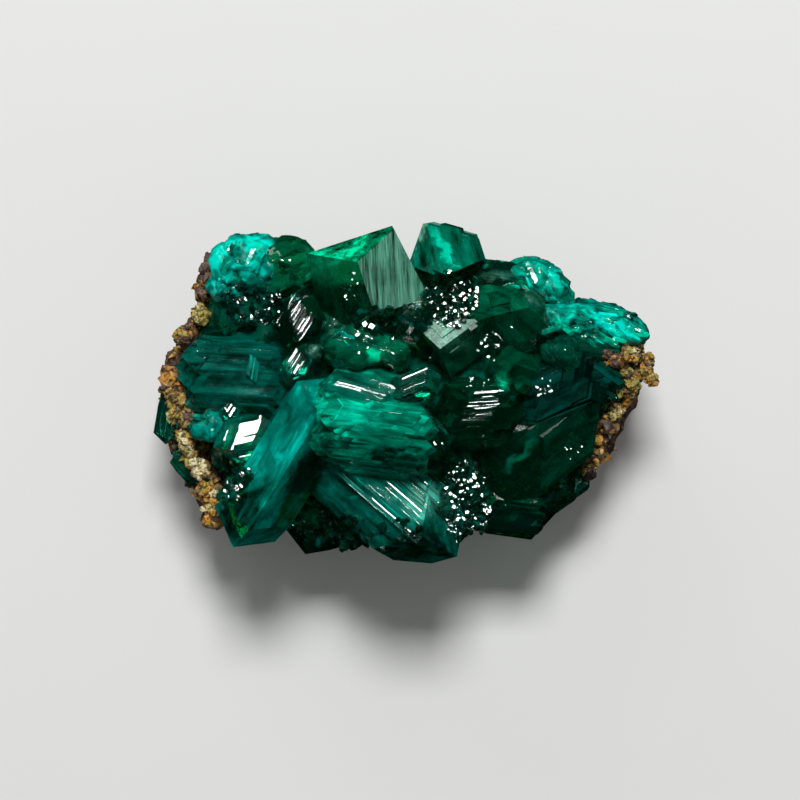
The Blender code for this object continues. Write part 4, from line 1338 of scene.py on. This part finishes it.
def make_softbox(name, direction, distance, size, radiance):
    """A rectangular softbox that faces the specimen, as bright as radiance says."""
    light = bpy.data.lights.new(name, "AREA")
    light.shape = "RECTANGLE"
    light.size, light.size_y = size
    light.energy = radiance * math.pi * size[0] * size[1]
    obj = linked(name, light)
    toward = Vector(direction).normalized()
    obj.location = toward * distance + UP * (FOCUS_HEIGHT * MM)
    obj.rotation_euler = toward.to_track_quat("Z", "Y").to_euler()


def make_camera():
    """Looks straight down on the specimen, with the photograph's top towards +Y."""
    camera = bpy.data.cameras.new("camera")
    camera.sensor_width = SENSOR_WIDTH
    distance = VIEW_DISTANCE - FOCUS_HEIGHT
    camera.lens = SENSOR_WIDTH * distance / (FRAME_SIZE / PIXELS_PER_MM)
    camera.clip_start = 0.01
    obj = linked("camera", camera)
    middle = FRAME_SIZE / 2
    x = (middle - ZERO_PIXEL[0]) / PIXELS_PER_MM
    y = (ZERO_PIXEL[1] - middle) / PIXELS_PER_MM
    obj.location = in_metres((x, y, VIEW_DISTANCE))
    bpy.context.scene.camera = obj


class SPECIMEN_PT_panel(bpy.types.Panel):
    """Lists the steps and the sizes and colours they use"""
    bl_label = "Dioptase specimen"
    bl_idname = "SPECIMEN_PT_panel"
    bl_space_type = "VIEW_3D"
    bl_region_type = "UI"
    bl_category = "Dioptase"

    def draw(self, context):
        groups = ((context.scene.specimen_rock, ("specimen.rock",)),
                  (context.scene.specimen_crystals, ("specimen.cluster", "specimen.rim_crystals")),
                  (context.scene.specimen_stage, ("specimen.stage",)))
        for settings, steps in groups:
            box = self.layout.box()
            for step in steps:
                box.operator(step)
            for name in settings.bl_rna.properties.keys():
                if name not in ("rna_type", "name"):
                    box.prop(settings, name)


CLASSES = (CrystalSettings, RockSettings, StageSettings, SPECIMEN_OT_rock, SPECIMEN_OT_cluster,
           SPECIMEN_OT_rim_crystals, SPECIMEN_OT_stage, SPECIMEN_PT_panel)


def register():
    for cls in CLASSES:
        bpy.utils.register_class(cls)
    bpy.types.Scene.specimen_rock = PointerProperty(type=RockSettings)
    bpy.types.Scene.specimen_crystals = PointerProperty(type=CrystalSettings)
    bpy.types.Scene.specimen_stage = PointerProperty(type=StageSettings)


def unregister():
    del bpy.types.Scene.specimen_stage
    del bpy.types.Scene.specimen_crystals
    del bpy.types.Scene.specimen_rock
    for cls in reversed(CLASSES):
        bpy.utils.unregister_class(cls)


def main():
    register()
    bpy.ops.specimen.rock()
    bpy.ops.specimen.cluster()
    bpy.ops.specimen.rim_crystals()
    bpy.ops.specimen.stage()
    bpy.context.scene.view_settings.view_transform = "Standard"


if __name__ == "__main__":
    main()
